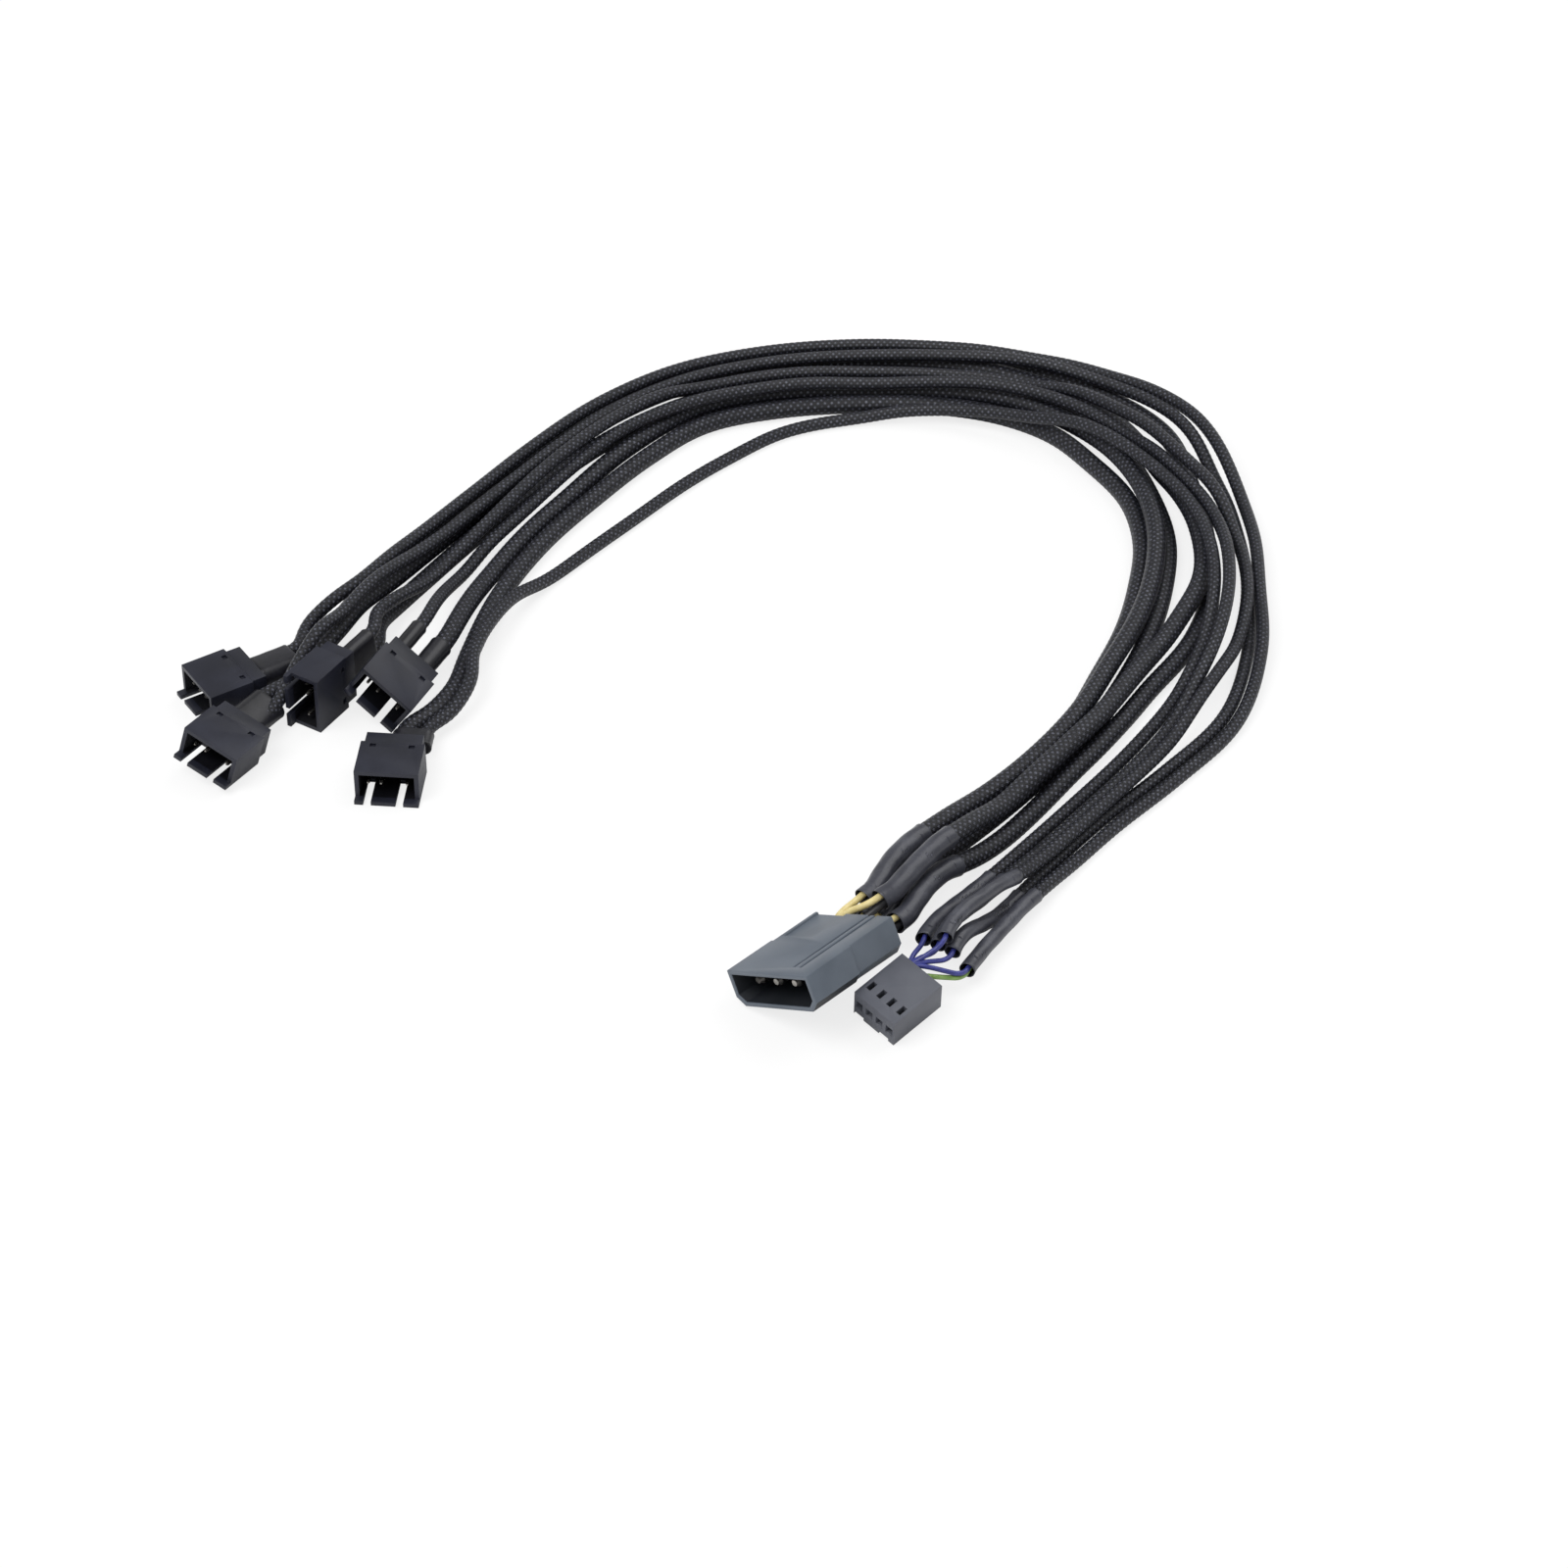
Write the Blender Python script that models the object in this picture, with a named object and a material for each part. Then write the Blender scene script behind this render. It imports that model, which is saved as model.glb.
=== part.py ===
"""Fan splitter cable lying on a table in an arch.

A four-pin peripheral power plug and a PWM socket, at the front, feed five fan plugs, at the left. One
thick power cable and one thin signal cable run to each fan plug. Every cable is laid on the table, over
the cables laid before it. Metres, +Z up; the plan tables are in millimetres.
"""
import math
import bmesh
import bpy
import numpy as np
from mathutils import Euler, Matrix, Vector

MM = 0.001
SHARP = math.radians(50)

# Middle of the plugs in plan, which is the origin (mm)
CENTRE = (-45.96, -20.63)

# Cables and sleeves
POWER_R = 0.0019
SIGNAL_R = 0.00128
POWER_SLEEVE_R = 0.0021
SIGNAL_SLEEVE_R = 0.00145
POWER_SLEEVE_LENGTH = 0.022
SIGNAL_SLEEVE_LENGTH = 0.026
POWER_WIRES_SHOW = 0.006
SIGNAL_WIRES_SHOW = 0.0085
WIRE_R = 0.00045
FACE_GAP = 0.00045
WIRE_GAP = 0.00065
WIRE_STRAIGHT = 0.0012
CLEAR = 0.0005
POWER_POINTS = 56
SIGNAL_POINTS = 76

# Laying the cables
STEP = 0.001
EASE = 9
POWER_LEAD = 0.007
SIGNAL_LEAD = 0.003
FAN_LEAD = 0.0018
POWER_DROP = 0.042
SIGNAL_DROP = 0.03
FAN_DROP = 0.018
LEANING_DROP = 0.03

# Power plug
POWER_WIDTH = 0.0222
POWER_HEIGHT = 0.0074
POWER_LENGTH = 0.0236
POWER_CHAMFER = 0.0018
POWER_WALL = 0.0009
POWER_MOUTH_DEPTH = 0.0112
POWER_STEP_IN = 0.0005
POWER_STEP_AT = 0.0118
POWER_PITCH = 0.00508
POWER_PIN_R = 0.00105
PIN_CLEARANCE = 0.00037
POWER_PIN_HOLE_R = POWER_PIN_R + PIN_CLEARANCE
POWER_PIN_BACK = 0.0075
POWER_PIN_RECESS = 0.0034
POWER_CAVITY_R = 0.00215
POWER_CAVITY_DEPTH = 0.0104
POWER_HUB_R = POWER_CAVITY_R - 0.00095
RIDGES = (0.0045, 0.0062)
RIDGE_WIDTH = 0.0006
RIDGE_REACH = 0.0205
RECESS = (-0.0098, -0.0020)

# PWM socket
SOCKET_WIDTH = 0.0102
SOCKET_HEIGHT = 0.0066
SOCKET_LENGTH = 0.0124
CONTACT = (0.001, 0.0013)
CONTACT_CLEARANCE = (0.00035, 0.0004)
SOCKET_HOLE = (CONTACT[0] + 2 * CONTACT_CLEARANCE[0], CONTACT[1] + 2 * CONTACT_CLEARANCE[1])
SOCKET_HUB_R = 0.5 * SOCKET_HOLE[0] - CONTACT_CLEARANCE[0]
SOCKET_KEY_HEIGHT = 0.0007
SOCKET_KEY_WIDTH = 0.0024
CONTACT_RECESS = 0.0012
CONTACT_BACK = 0.0028

# Fan plugs
FAN_WIDTH = 0.0126
FAN_HEIGHT = 0.007
FAN_TOP_LENGTH = 0.0126
FAN_TONGUE_LENGTH = 0.0142
FAN_WALL = 0.0009
FAN_MOUTH_DEPTH = 0.0078
FAN_NECK_LENGTH = 0.0032
FAN_NECK_IN = 0.0007
FAN_SLOTS = (-0.0038, 0.0025)
FAN_SLOT_WIDTH = 0.0015
FAN_SLOT_DEPTH = 0.007
FAN_PITCH = 0.00254
FAN_PIN = 0.00064
FAN_PIN_CLEARANCE = 0.00034
FAN_PIN_HOLE = FAN_PIN + 2 * FAN_PIN_CLEARANCE
FAN_PIN_RECESS = 0.001
FAN_PIN_BACK = 0.001
FAN_CAVITY = (0.002, 0.0026)
FAN_SLEEVE_WALL = 0.0004

# Where each plug lies: plan position of its back (mm), heading of its wires, pitch and roll (degrees)
POWER_PLUG = (14.0, -51.5, 47, -2, -28)
PWM_SOCKET = (25.2, -62.7, 44, 8, 9)
FAN_PLUGS = {
    1: (-105.4, 30.0, 33, 0, 0),
    2: (-105.4, 11.6, 60, -6, 14),
    3: (-87.5, 28.2, 58, 0, 90),
    4: (-74.2, 29.8, 65, 0, 35),
    5: (-75.6, 7.4, 85, 0, 0),
}

# Middle line of the bundle in plan, from the host plugs round to the fan plugs (mm)
SPINE = [(20.4, -44.3), (27, -36), (39, -21), (52, -6), (64, 9), (74, 25), (81, 42), (84, 59), (84, 76),
         (81, 93), (74, 109), (63, 121), (49, 129), (33, 133), (15, 133.5), (-3, 131.5), (-21, 126),
         (-37, 115.5), (-50.5, 101), (-63, 85), (-75, 68), (-86, 52)]

# How far outside that line each cable lies at each of its points (mm)
LANES = {
    "power_1": [2.8, 0.6, 1.0, -0.6, -1.6, -2.2, 0.8, 3.0, 3.3, 4.6, 8.4,
                8.6, 8.0, 7.8, 8.2, 7.4, 6.4, 5.4, 5.2, 4.8, 4.1, 2.6],
    "power_2": [-0.6, -1.4, -1.6, -2.9, -3.9, -4.9, -2.9, 1.0, 1.2, -0.2, 1.5,
                3.0, 3.6, 3.9, 4.2, 3.5, 2.6, 1.4, 1.0, 0.6, -0.1, -1.6],
    "power_3": [-1.5, -4.3, -4.6, -5.2, -5.9, -7.5, -7.8, -6.6, -4.9, -4.6, -3.2,
                -1.2, -0.6, -0.4, 0.0, -0.6, -1.6, -2.8, -3.2, -3.6, -4.3, -5.8],
    "power_4": [-5.0, -7.4, -7.5, -7.0, -8.4, -10.6, -10.4, -8.9, -7.4, -7.0, -7.0,
                -5.6, -4.8, -4.7, -4.5, -4.9, -5.7, -8.8, -10.4, -12.0, -15.8],
    "power_5": [-5.4, -9.6, -10.5, -9.9, -10.2, -12.7, -13.0, -12.0, -10.1, -9.7, -11.0,
                -9.6, -9.0, -9.0, -9.0, -9.1, -9.8, -13.0, -14.8, -16.4, -20.4, -27.4],
    "signal_1": [18.4, 17.0, 15.4, 14.2, 15.3, 17.3, 15.2, 12.8, 13.0, 13.5, 14.3,
                 11.6, 8.4, 6.4, 6.6, 5.8, 4.7, 3.5, 3.1, 2.7, 2.0, 1.4],
    "signal_2": [14.8, 13.6, 12.2, 11.0, 12.2, 14.2, 12.4, 10.8, 10.2, 10.6, 11.3,
                 8.4, 4.8, 2.2, 2.2, 1.5, 0.5, -0.7, -1.1, -1.5, -2.2, -3.0],
    "signal_3": [13.0, 12.3, 11.7, 10.6, 10.0, 9.4, 10.2, 10.2, 8.0, 2.6, -0.2,
                 -0.8, -1.4, -2.5, -2.3, -2.7, -3.6, -5.0, -5.6, -6.2, -7.2, -8.4],
    "signal_4": [11.2, 9.0, 8.4, 7.2, 6.5, 6.4, 6.8, 6.2, 4.4, -0.2, -2.6,
                 -4.0, -5.4, -6.6, -6.7, -6.8, -7.6, -7.4, -8.0, -9.0, -10.4],
    "signal_5": [7.6, 5.6, 5.2, 4.1, 3.4, 3.3, 3.9, 3.2, 0.8, -4.0, -8.4,
                 -11.2, -12.2, -12.6, -13.4, -16.5, -22.3, -24.9, -25.6, -25.1, -24.6, -29.3],
}

# Plan points that a cable passes after the spine, on its way to its fan plug (mm)
APPROACH = {
    "power_1": [(-91.0, 42.8)],
    "power_2": [(-89.2, 40.0), (-93.6, 31.0), (-98.9, 23.8)],
    "power_3": [(-82.0, 43.0)],
    "power_4": [],
    "power_5": [(-65.2, 27.6), (-70.1, 18.0)],
    "signal_1": [(-96.0, 44.3)],
    "signal_2": [(-88.6, 39.6), (-93.2, 31.0), (-97.3, 24.0)],
    "signal_3": [(-81.8, 43.0)],
    "signal_4": [],
    "signal_5": [(-62.0, 26.2), (-66.4, 16.6)],
}

# Across and up places of the cables behind the host plugs and the fan plugs (mm)
HOST_SEATS = {
    "power_5": (-7.0, -1.8), "power_3": (-2.5, -1.8), "power_1": (2.0, -1.8),
    "power_4": (-4.8, 2.2), "power_2": (-0.2, 2.2),
    "signal_5": (-4.8, -1.4), "signal_4": (-1.6, -1.4), "signal_2": (1.6, -1.4),
    "signal_1": (4.8, -1.4), "signal_3": (0.0, 1.6),
}
FAN_SEATS = {
    "power_1": (1.8, 0.0), "signal_1": (-2.3, 0.0),
    "power_2": (-2.4, 0.0), "signal_2": (1.6, 0.0),
    "power_3": (1.8, 0.0), "signal_3": (-2.2, 0.0),
    "power_4": (2.6, 0.0), "signal_4": (-3.2, 0.0),
    "power_5": (0.8, -1.1), "signal_5": (5.1, -0.6),
}
FAN_SLEEVE = {1: 0.009, 2: 0.009, 3: 0.009, 4: 0.009, 5: 0.0046}
LEANING_PLUG = 4
LAID_IN_ORDER = ["power_5", "power_3", "power_1", "power_4", "power_2",
                 "signal_5", "signal_4", "signal_2", "signal_1", "signal_3"]

# Colours of the slots
SLOTS = {
    "power_plug_plastic": ((0.115, 0.14, 0.17), 0.45, 0.0),
    "socket_plastic": ((0.075, 0.085, 0.10), 0.5, 0.0),
    "fan_plug_plastic": ((0.03, 0.033, 0.045), 0.45, 0.0),
    "braided_sleeve": ((0.02, 0.02, 0.026), 0.7, 0.0),
    "heat_shrink": ((0.05, 0.047, 0.058), 0.35, 0.0),
    "tinned_pin": ((0.75, 0.75, 0.72), 0.3, 1.0),
    "yellow_wire": ((0.75, 0.68, 0.30), 0.5, 0.0),
    "black_wire": ((0.02, 0.02, 0.02), 0.5, 0.0),
    "blue_wire": ((0.03, 0.035, 0.20), 0.5, 0.0),
    "green_wire": ((0.16, 0.28, 0.07), 0.5, 0.0),
}


# Finish and scene
def finish(obj, slot):
    """Give a node its own material in the colour of its slot."""
    colour, roughness, metallic = SLOTS[slot]
    material = bpy.data.materials.new(obj.name)
    material.use_nodes = True
    shader = material.node_tree.nodes["Principled BSDF"]
    shader.inputs["Base Color"].default_value = (*colour, 1)
    shader.inputs["Roughness"].default_value = roughness
    shader.inputs["Metallic"].default_value = metallic
    obj.data.materials.append(material)


def add(name, data, parent=None):
    obj = bpy.data.objects.new(name, data)
    bpy.context.scene.collection.objects.link(obj)
    obj.parent = parent
    return obj


# Solids
def mesh_of(pieces):
    """One mesh from closed pieces, each a list of rings of points; every ring lies in a plane."""
    bm = bmesh.new()
    for rings in pieces:
        rows = [[bm.verts.new(point) for point in ring] for ring in rings]
        for row, following in zip(rows, rows[1:]):
            for i in range(len(row)):
                j = (i + 1) % len(row)
                bm.faces.new((row[i], row[j], following[j], following[i]))
        bm.faces.new(rows[0][::-1])
        bm.faces.new(rows[-1])
    bmesh.ops.recalc_face_normals(bm, faces=bm.faces)
    data = bpy.data.meshes.new("solid")
    bm.to_mesh(data)
    bm.free()
    data.shade_smooth()
    data.set_sharp_from_angle(angle=SHARP)
    return data


def box(x, y, z):
    """A box from three (low, high) pairs."""
    return [[(x[0], d, z[0]), (x[1], d, z[0]), (x[1], d, z[1]), (x[0], d, z[1])] for d in y]


def rod(x, z, radius, y, sides=12):
    """A round rod along Y."""
    angles = [math.tau * (i + 0.5) / sides for i in range(sides)]
    return [[(x + radius * math.cos(a), d, z + radius * math.sin(a)) for a in angles] for d in y]


def d_shape(width, height, chamfer, y):
    """A rectangle across the plug, with its two lower corners cut off."""
    w, h, c = width / 2, height / 2, chamfer
    corners = [(-w + c, -h), (w - c, -h), (w, -h + c), (w, h), (-w, h), (-w, -h + c)]
    return [(x, y, z) for x, z in corners]


def flat_oval(x, z, half_height, y, sides=16):
    """A sleeve's outline: round ends at the two x values, half_height tall each way."""
    ring = []
    for i in range(sides):
        angle = math.tau * (i + 0.5) / sides
        end = x[1] - half_height if math.cos(angle) > 0 else x[0] + half_height
        ring.append((end + half_height * math.cos(angle), y, z + half_height * math.sin(angle)))
    return ring


def cut(obj, pieces):
    """Take closed pieces that don't touch each other out of a solid."""
    cutter = add(obj.name + "_cutter", mesh_of(pieces), obj.parent)
    cutter.hide_render = True
    cutter.display_type = "WIRE"
    difference = obj.modifiers.new("cut", "BOOLEAN")
    difference.operation = "DIFFERENCE"
    difference.solver = "EXACT"
    difference.object = cutter


def seat(name, plug, height, width, length, chamfer=0.0, tongue=None):
    """An empty at the middle of a plug's back, lifted so the plug's lowest corner is on the table."""
    x, y, heading, pitch, roll = plug
    turn = (Matrix.Rotation(math.radians(heading - 90), 4, "Z") @ Matrix.Rotation(math.radians(pitch), 4, "X")
            @ Matrix.Rotation(math.radians(roll), 4, "Y"))
    low = d_shape(width, height, chamfer, 0.0) + d_shape(width, height, chamfer, -length)
    lift = -min((turn @ Vector(point)).z for point in low)
    empty = add(name, None)
    empty.matrix_world = Matrix.Translation(((x - CENTRE[0]) * MM, (y - CENTRE[1]) * MM, lift)) @ turn
    return empty


# Power plug
def power_plug():
    frame = seat("power_plug", POWER_PLUG, POWER_HEIGHT, POWER_WIDTH, POWER_LENGTH, POWER_CHAMFER)
    rear = POWER_WIDTH - 2 * POWER_STEP_IN
    shell = [d_shape(POWER_WIDTH, POWER_HEIGHT, POWER_CHAMFER, -POWER_LENGTH),
             d_shape(POWER_WIDTH, POWER_HEIGHT, POWER_CHAMFER, -POWER_STEP_AT),
             d_shape(rear, POWER_HEIGHT, POWER_CHAMFER, -POWER_STEP_AT + POWER_STEP_IN),
             d_shape(rear, POWER_HEIGHT, POWER_CHAMFER, 0.0)]
    housing = add("power_plug_housing", mesh_of([shell]), frame)
    inner = (POWER_WIDTH - 2 * POWER_WALL, POWER_HEIGHT - 2 * POWER_WALL, POWER_CHAMFER - 0.4 * POWER_WALL)
    floor = -POWER_LENGTH + POWER_MOUTH_DEPTH
    cut(housing, [[d_shape(*inner, -POWER_LENGTH - 0.001), d_shape(*inner, floor)]])
    places = [POWER_PITCH * (i - 1.5) for i in range(4)]
    cut(housing, [rod(x, 0, POWER_CAVITY_R, (-POWER_CAVITY_DEPTH, 0.001), 16) for x in places])
    cut(housing, [rod(x, 0, POWER_PIN_HOLE_R, (floor - 0.001, -POWER_CAVITY_DEPTH + 0.001)) for x in places])
    top = POWER_HEIGHT / 2
    ridges = [box((x - RIDGE_WIDTH / 2, x + RIDGE_WIDTH / 2), (-RIDGE_REACH, 0.001), (top - 0.0004, top + 0.001))
              for x in RIDGES]
    recess = box(RECESS, (-0.0095, 0.001), (top - 0.0005, top + 0.001))
    cut(housing, [*ridges, recess])
    finish(housing, "power_plug_plastic")
    for name, x in zip(("12v", "ground", "ground_2", "5v"), places):
        tip = -POWER_LENGTH + POWER_PIN_RECESS
        rings = [*rod(x, 0, 0.6 * POWER_PIN_R, (tip,)),
                 *rod(x, 0, POWER_PIN_R, (tip + 0.0008, -POWER_PIN_BACK))]
        pin = add("power_pin_" + name, mesh_of([rings]), frame)
        finish(pin, "tinned_pin")
    return frame


# PWM socket
def pwm_socket():
    frame = seat("pwm_socket", PWM_SOCKET, SOCKET_HEIGHT, SOCKET_WIDTH, SOCKET_LENGTH)
    w, h = SOCKET_WIDTH / 2, SOCKET_HEIGHT / 2
    housing = add("pwm_socket_housing", mesh_of([box((-w, w), (-SOCKET_LENGTH, 0), (-h, h))]), frame)
    places = [FAN_PITCH * (i - 1.5) for i in range(4)]
    hx, hz = SOCKET_HOLE[0] / 2, SOCKET_HOLE[1] / 2
    cut(housing, [box((x - hx, x + hx), (-SOCKET_LENGTH - 0.001, 0.001), (-hz, hz)) for x in places])
    windows = [box((x - 0.0005, x + 0.0005), (-SOCKET_LENGTH + 0.0022, -SOCKET_LENGTH + 0.0042),
                   (hz - 0.0002, h + 0.001)) for x in places]
    keyways = [box((x - SOCKET_KEY_WIDTH / 2, x + SOCKET_KEY_WIDTH / 2), (-SOCKET_LENGTH - 0.001, -SOCKET_LENGTH + 0.0085),
                   (-h - 0.001, -h + SOCKET_KEY_HEIGHT)) for x in FAN_SLOTS]
    cut(housing, [*windows, *keyways])
    finish(housing, "socket_plastic")
    cx, cz = CONTACT[0] / 2, CONTACT[1] / 2
    for name, x in (("pwm", places[0]), ("speed", places[1])):
        reach = (-SOCKET_LENGTH + CONTACT_RECESS, -CONTACT_BACK)
        contact = add("socket_contact_" + name, mesh_of([box((x - cx, x + cx), reach, (-cz, cz))]), frame)
        finish(contact, "tinned_pin")
    return frame


# Fan plugs
def fan_plug(number):
    frame = seat("fan_plug_%d" % number, FAN_PLUGS[number], FAN_HEIGHT, FAN_WIDTH, FAN_TONGUE_LENGTH)
    w, h = FAN_WIDTH / 2, FAN_HEIGHT / 2
    neck_w, neck_h = w - FAN_NECK_IN, h - 0.5 * FAN_NECK_IN
    outline = [(-FAN_TONGUE_LENGTH, w, h), (-FAN_NECK_LENGTH, w, h),
               (-FAN_NECK_LENGTH + 0.0003, neck_w, neck_h), (0, neck_w, neck_h)]
    rings = [[(-x, y, -z), (x, y, -z), (x, y, z), (-x, y, z)] for y, x, z in outline]
    housing = add("fan_plug_%d_housing" % number, mesh_of([rings]), frame)
    front = -FAN_TONGUE_LENGTH - 0.001
    cut(housing, [box((-w - 0.001, w + 0.001), (front, -FAN_TOP_LENGTH), (-h + FAN_WALL, h + 0.001))])
    floor = -FAN_TOP_LENGTH + FAN_MOUTH_DEPTH
    cut(housing, [box((-w + FAN_WALL, w - FAN_WALL), (front, floor), (-h + FAN_WALL, h - FAN_WALL))])
    slots = [box((x - FAN_SLOT_WIDTH / 2, x + FAN_SLOT_WIDTH / 2), (front, -FAN_TONGUE_LENGTH + FAN_SLOT_DEPTH),
                 (-h - 0.001, -h + 1.5 * FAN_WALL)) for x in FAN_SLOTS]
    windows = [box((x - 0.0006, x + 0.0006), (-FAN_TOP_LENGTH + 0.0078, -FAN_TOP_LENGTH + 0.0088),
                   (h - 0.0005, h + 0.001)) for x in (-0.0038, 0.0038)]
    cut(housing, [*slots, *windows])
    places = [FAN_PITCH * (i - 1.5) for i in range(4)]
    hole = FAN_PIN_HOLE / 2
    cut(housing, [box((x - hole, x + hole), (floor - 0.001, 0.001), (-hole, hole)) for x in places])
    cx, cz = FAN_CAVITY[0] / 2, FAN_CAVITY[1] / 2
    cut(housing, [box((x - cx, x + cx), (-FAN_NECK_LENGTH, 0.001), (-cz, cz)) for x in places])
    finish(housing, "fan_plug_plastic")
    names = ["ground", "12v", "speed", "pwm"]
    for name, x in zip(names, places):
        if name == "speed" and number != 1:
            continue
        p = FAN_PIN / 2
        rings = [[(x - s, y, -s), (x + s, y, -s), (x + s, y, s), (x - s, y, s)]
                 for y, s in ((-FAN_TOP_LENGTH + FAN_PIN_RECESS, 0.5 * p),
                              (-FAN_TOP_LENGTH + FAN_PIN_RECESS + 0.0005, p), (-FAN_PIN_BACK, p))]
        pin = add("fan_pin_%d_%s" % (number, name), mesh_of([rings]), frame)
        finish(pin, "tinned_pin")
    return frame


# Laying the cables
def across_at(i):
    """Outward direction in plan at a point of the spine."""
    before = Vector(SPINE[max(i - 1, 0)])
    after = Vector(SPINE[min(i + 1, len(SPINE) - 1)])
    along = (after - before).normalized()
    return Vector((along.y, -along.x))


def evenly(points, count):
    """The same line with evenly spaced points."""
    run = np.concatenate([[0], np.cumsum(np.linalg.norm(np.diff(points, axis=0), axis=1))])
    places = np.linspace(0, run[-1], count)
    return np.stack([np.interp(places, run, points[:, k]) for k in range(points.shape[1])], axis=1)


def curve_through(points):
    """Smooth plan line through the points, a point every STEP."""
    p = [np.array(point, float) for point in points]
    p = [2 * p[0] - p[1], *p, 2 * p[-1] - p[-2]]
    line = []
    for a, b, c, d in zip(p, p[1:], p[2:], p[3:]):
        t1 = np.linalg.norm(b - a) ** 0.5
        t2 = t1 + np.linalg.norm(c - b) ** 0.5
        t3 = t2 + np.linalg.norm(d - c) ** 0.5
        for t in np.linspace(t1, t2, 24, endpoint=False):
            ab = a + (b - a) * t / t1
            bc = b + (c - b) * (t - t1) / (t2 - t1)
            cd = c + (d - c) * (t - t2) / (t3 - t2)
            abc = ab + (bc - ab) * t / t2
            bcd = bc + (cd - bc) * (t - t1) / (t3 - t1)
            line.append(abc + (bcd - abc) * (t - t1) / (t2 - t1))
    line.append(p[-2])
    line = np.array(line)
    length = np.linalg.norm(np.diff(line, axis=0), axis=1).sum()
    return evenly(line, round(length / STEP) + 1)


def height_needed(plan, radius, laid):
    """Height at which each point lies on the table or on the cables already there."""
    height = radius.copy()
    for points, radii in laid:
        apart = ((plan[:, None, :] - points[None, :, :2]) ** 2).sum(axis=2)
        reach = radius[:, None] + radii[None, :] + CLEAR
        over = points[None, :, 2] + np.sqrt(np.maximum(reach ** 2 - apart, 0))
        height = np.maximum(height, np.where(apart < reach ** 2, over, 0).max(axis=1))
    return height


def running(values, half, how):
    """Highest or mean value within half steps each way."""
    padded = np.pad(values, half, mode="edge")
    return np.array([how(padded[i:i + 2 * half + 1]) for i in range(len(values))])


def eased(values, reach):
    """A low hump over the values, nowhere under them."""
    hump = running(values, reach, np.max)
    hump = running(hump, reach // 2, np.mean)
    hump = running(hump, reach // 2, np.mean)
    return np.maximum(hump, values)


def fade(t):
    t = np.clip(t, 0, 1)
    return t * t * (3 - 2 * t)


def place_on(frame, across, along, up):
    """A point in a plug's frame, given in millimetres."""
    return np.array(frame.matrix_world @ (Vector((across, along, up)) * MM))


def radii_along(name, run):
    """Radius of what a cable shows at each distance: wires, sleeve, cable, fan sleeve."""
    thin = name.startswith("signal")
    base = SIGNAL_R if thin else POWER_R
    sleeve = SIGNAL_SLEEVE_R if thin else POWER_SLEEVE_R
    shown = SIGNAL_WIRES_SHOW if thin else POWER_WIRES_SHOW
    covered = shown + (SIGNAL_SLEEVE_LENGTH if thin else POWER_SLEEVE_LENGTH)
    fan_end = run[-1] - FAN_SLEEVE[int(name[-1])] - 0.001
    radius = np.where(run < covered, sleeve, np.where(run > fan_end, base + 0.0003, base))
    return np.where(run < shown, 2 * WIRE_R, radius)


def lay_cable(name, host, fan, laid):
    """One cable's centre line from host plug to fan plug, laid over the others."""
    number = int(name[-1])
    lead = SIGNAL_LEAD if name.startswith("signal") else POWER_LEAD
    drop = SIGNAL_DROP if name.startswith("signal") else POWER_DROP
    tail = FAN_SLEEVE[number] + FAN_LEAD
    fan_drop = LEANING_DROP if number == LEANING_PLUG else FAN_DROP
    start = place_on(host, HOST_SEATS[name][0], 1.0, HOST_SEATS[name][1])
    end = place_on(fan, FAN_SEATS[name][0], 0.3, FAN_SEATS[name][1])
    out_of_host = np.array(host.matrix_world.to_3x3() @ Vector((0, 1, 0)))
    out_of_fan = np.array(fan.matrix_world.to_3x3() @ Vector((0, 1, 0)))
    points = [start[:2], (start + lead * out_of_host)[:2]]
    for i, lane in enumerate(LANES[name]):
        point = Vector(SPINE[i]) + lane * across_at(i) - Vector(CENTRE)
        points.append(np.array(point) * MM)
    points += [(np.array(point) - CENTRE) * MM for point in APPROACH[name]]
    points += [(end + share * tail * out_of_fan)[:2] for share in (1, 0.7, 0)]
    plan = curve_through(points)
    run = np.linspace(0, 1, len(plan)) * np.linalg.norm(np.diff(plan, axis=0), axis=1).sum()
    radius = radii_along(name, run)
    needed = height_needed(plan, radius, laid)
    height = eased(needed, EASE)
    ends = ((run, start, out_of_host, lead, drop), (run[-1] - run, end, out_of_fan, tail, fan_drop))
    for distance, point, out, straight, fall in ends:
        slope = out[2] / np.linalg.norm(out[:2])
        level = point[2] + slope * np.minimum(distance, straight)
        share = 1 - fade((distance - straight) / fall)
        height = height * (1 - share) + level * share
    free = fade((run - lead) / 0.006) * fade((run[-1] - run - tail) / 0.006)
    height = height + eased(np.maximum(needed - height, 0) * free, 5)
    return np.column_stack([plan, height]), radius


def stretch(points, first, last):
    """The part of a line between two distances from its start."""
    run = np.concatenate([[0], np.cumsum(np.linalg.norm(np.diff(points, axis=0), axis=1))])
    places = np.concatenate([[first], run[(run > first) & (run < last)], [last]])
    return np.stack([np.interp(places, run, points[:, k]) for k in range(3)], axis=1)


def knots(line, first, last, count):
    """Points for a tube between two distances, with a short straight piece at each end."""
    middle = evenly(stretch(line, first + STEP, last - STEP), count - 2)
    return np.vstack([stretch(line, first, last)[:1], middle, stretch(line, first, last)[-1:]])


def tube(name, points, radius, slot, sides=2):
    """A round solid along the points, with closed ends."""
    data = bpy.data.curves.new(name, "CURVE")
    data.dimensions = "3D"
    data.bevel_depth = radius
    data.bevel_resolution = sides
    data.use_fill_caps = True
    spline = data.splines.new("POLY")
    spline.points.add(len(points) - 1)
    for knot, point in zip(spline.points, points):
        knot.co = (*point, 1)
    obj = add(name, data)
    if slot:
        finish(obj, slot)
    return obj


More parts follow.
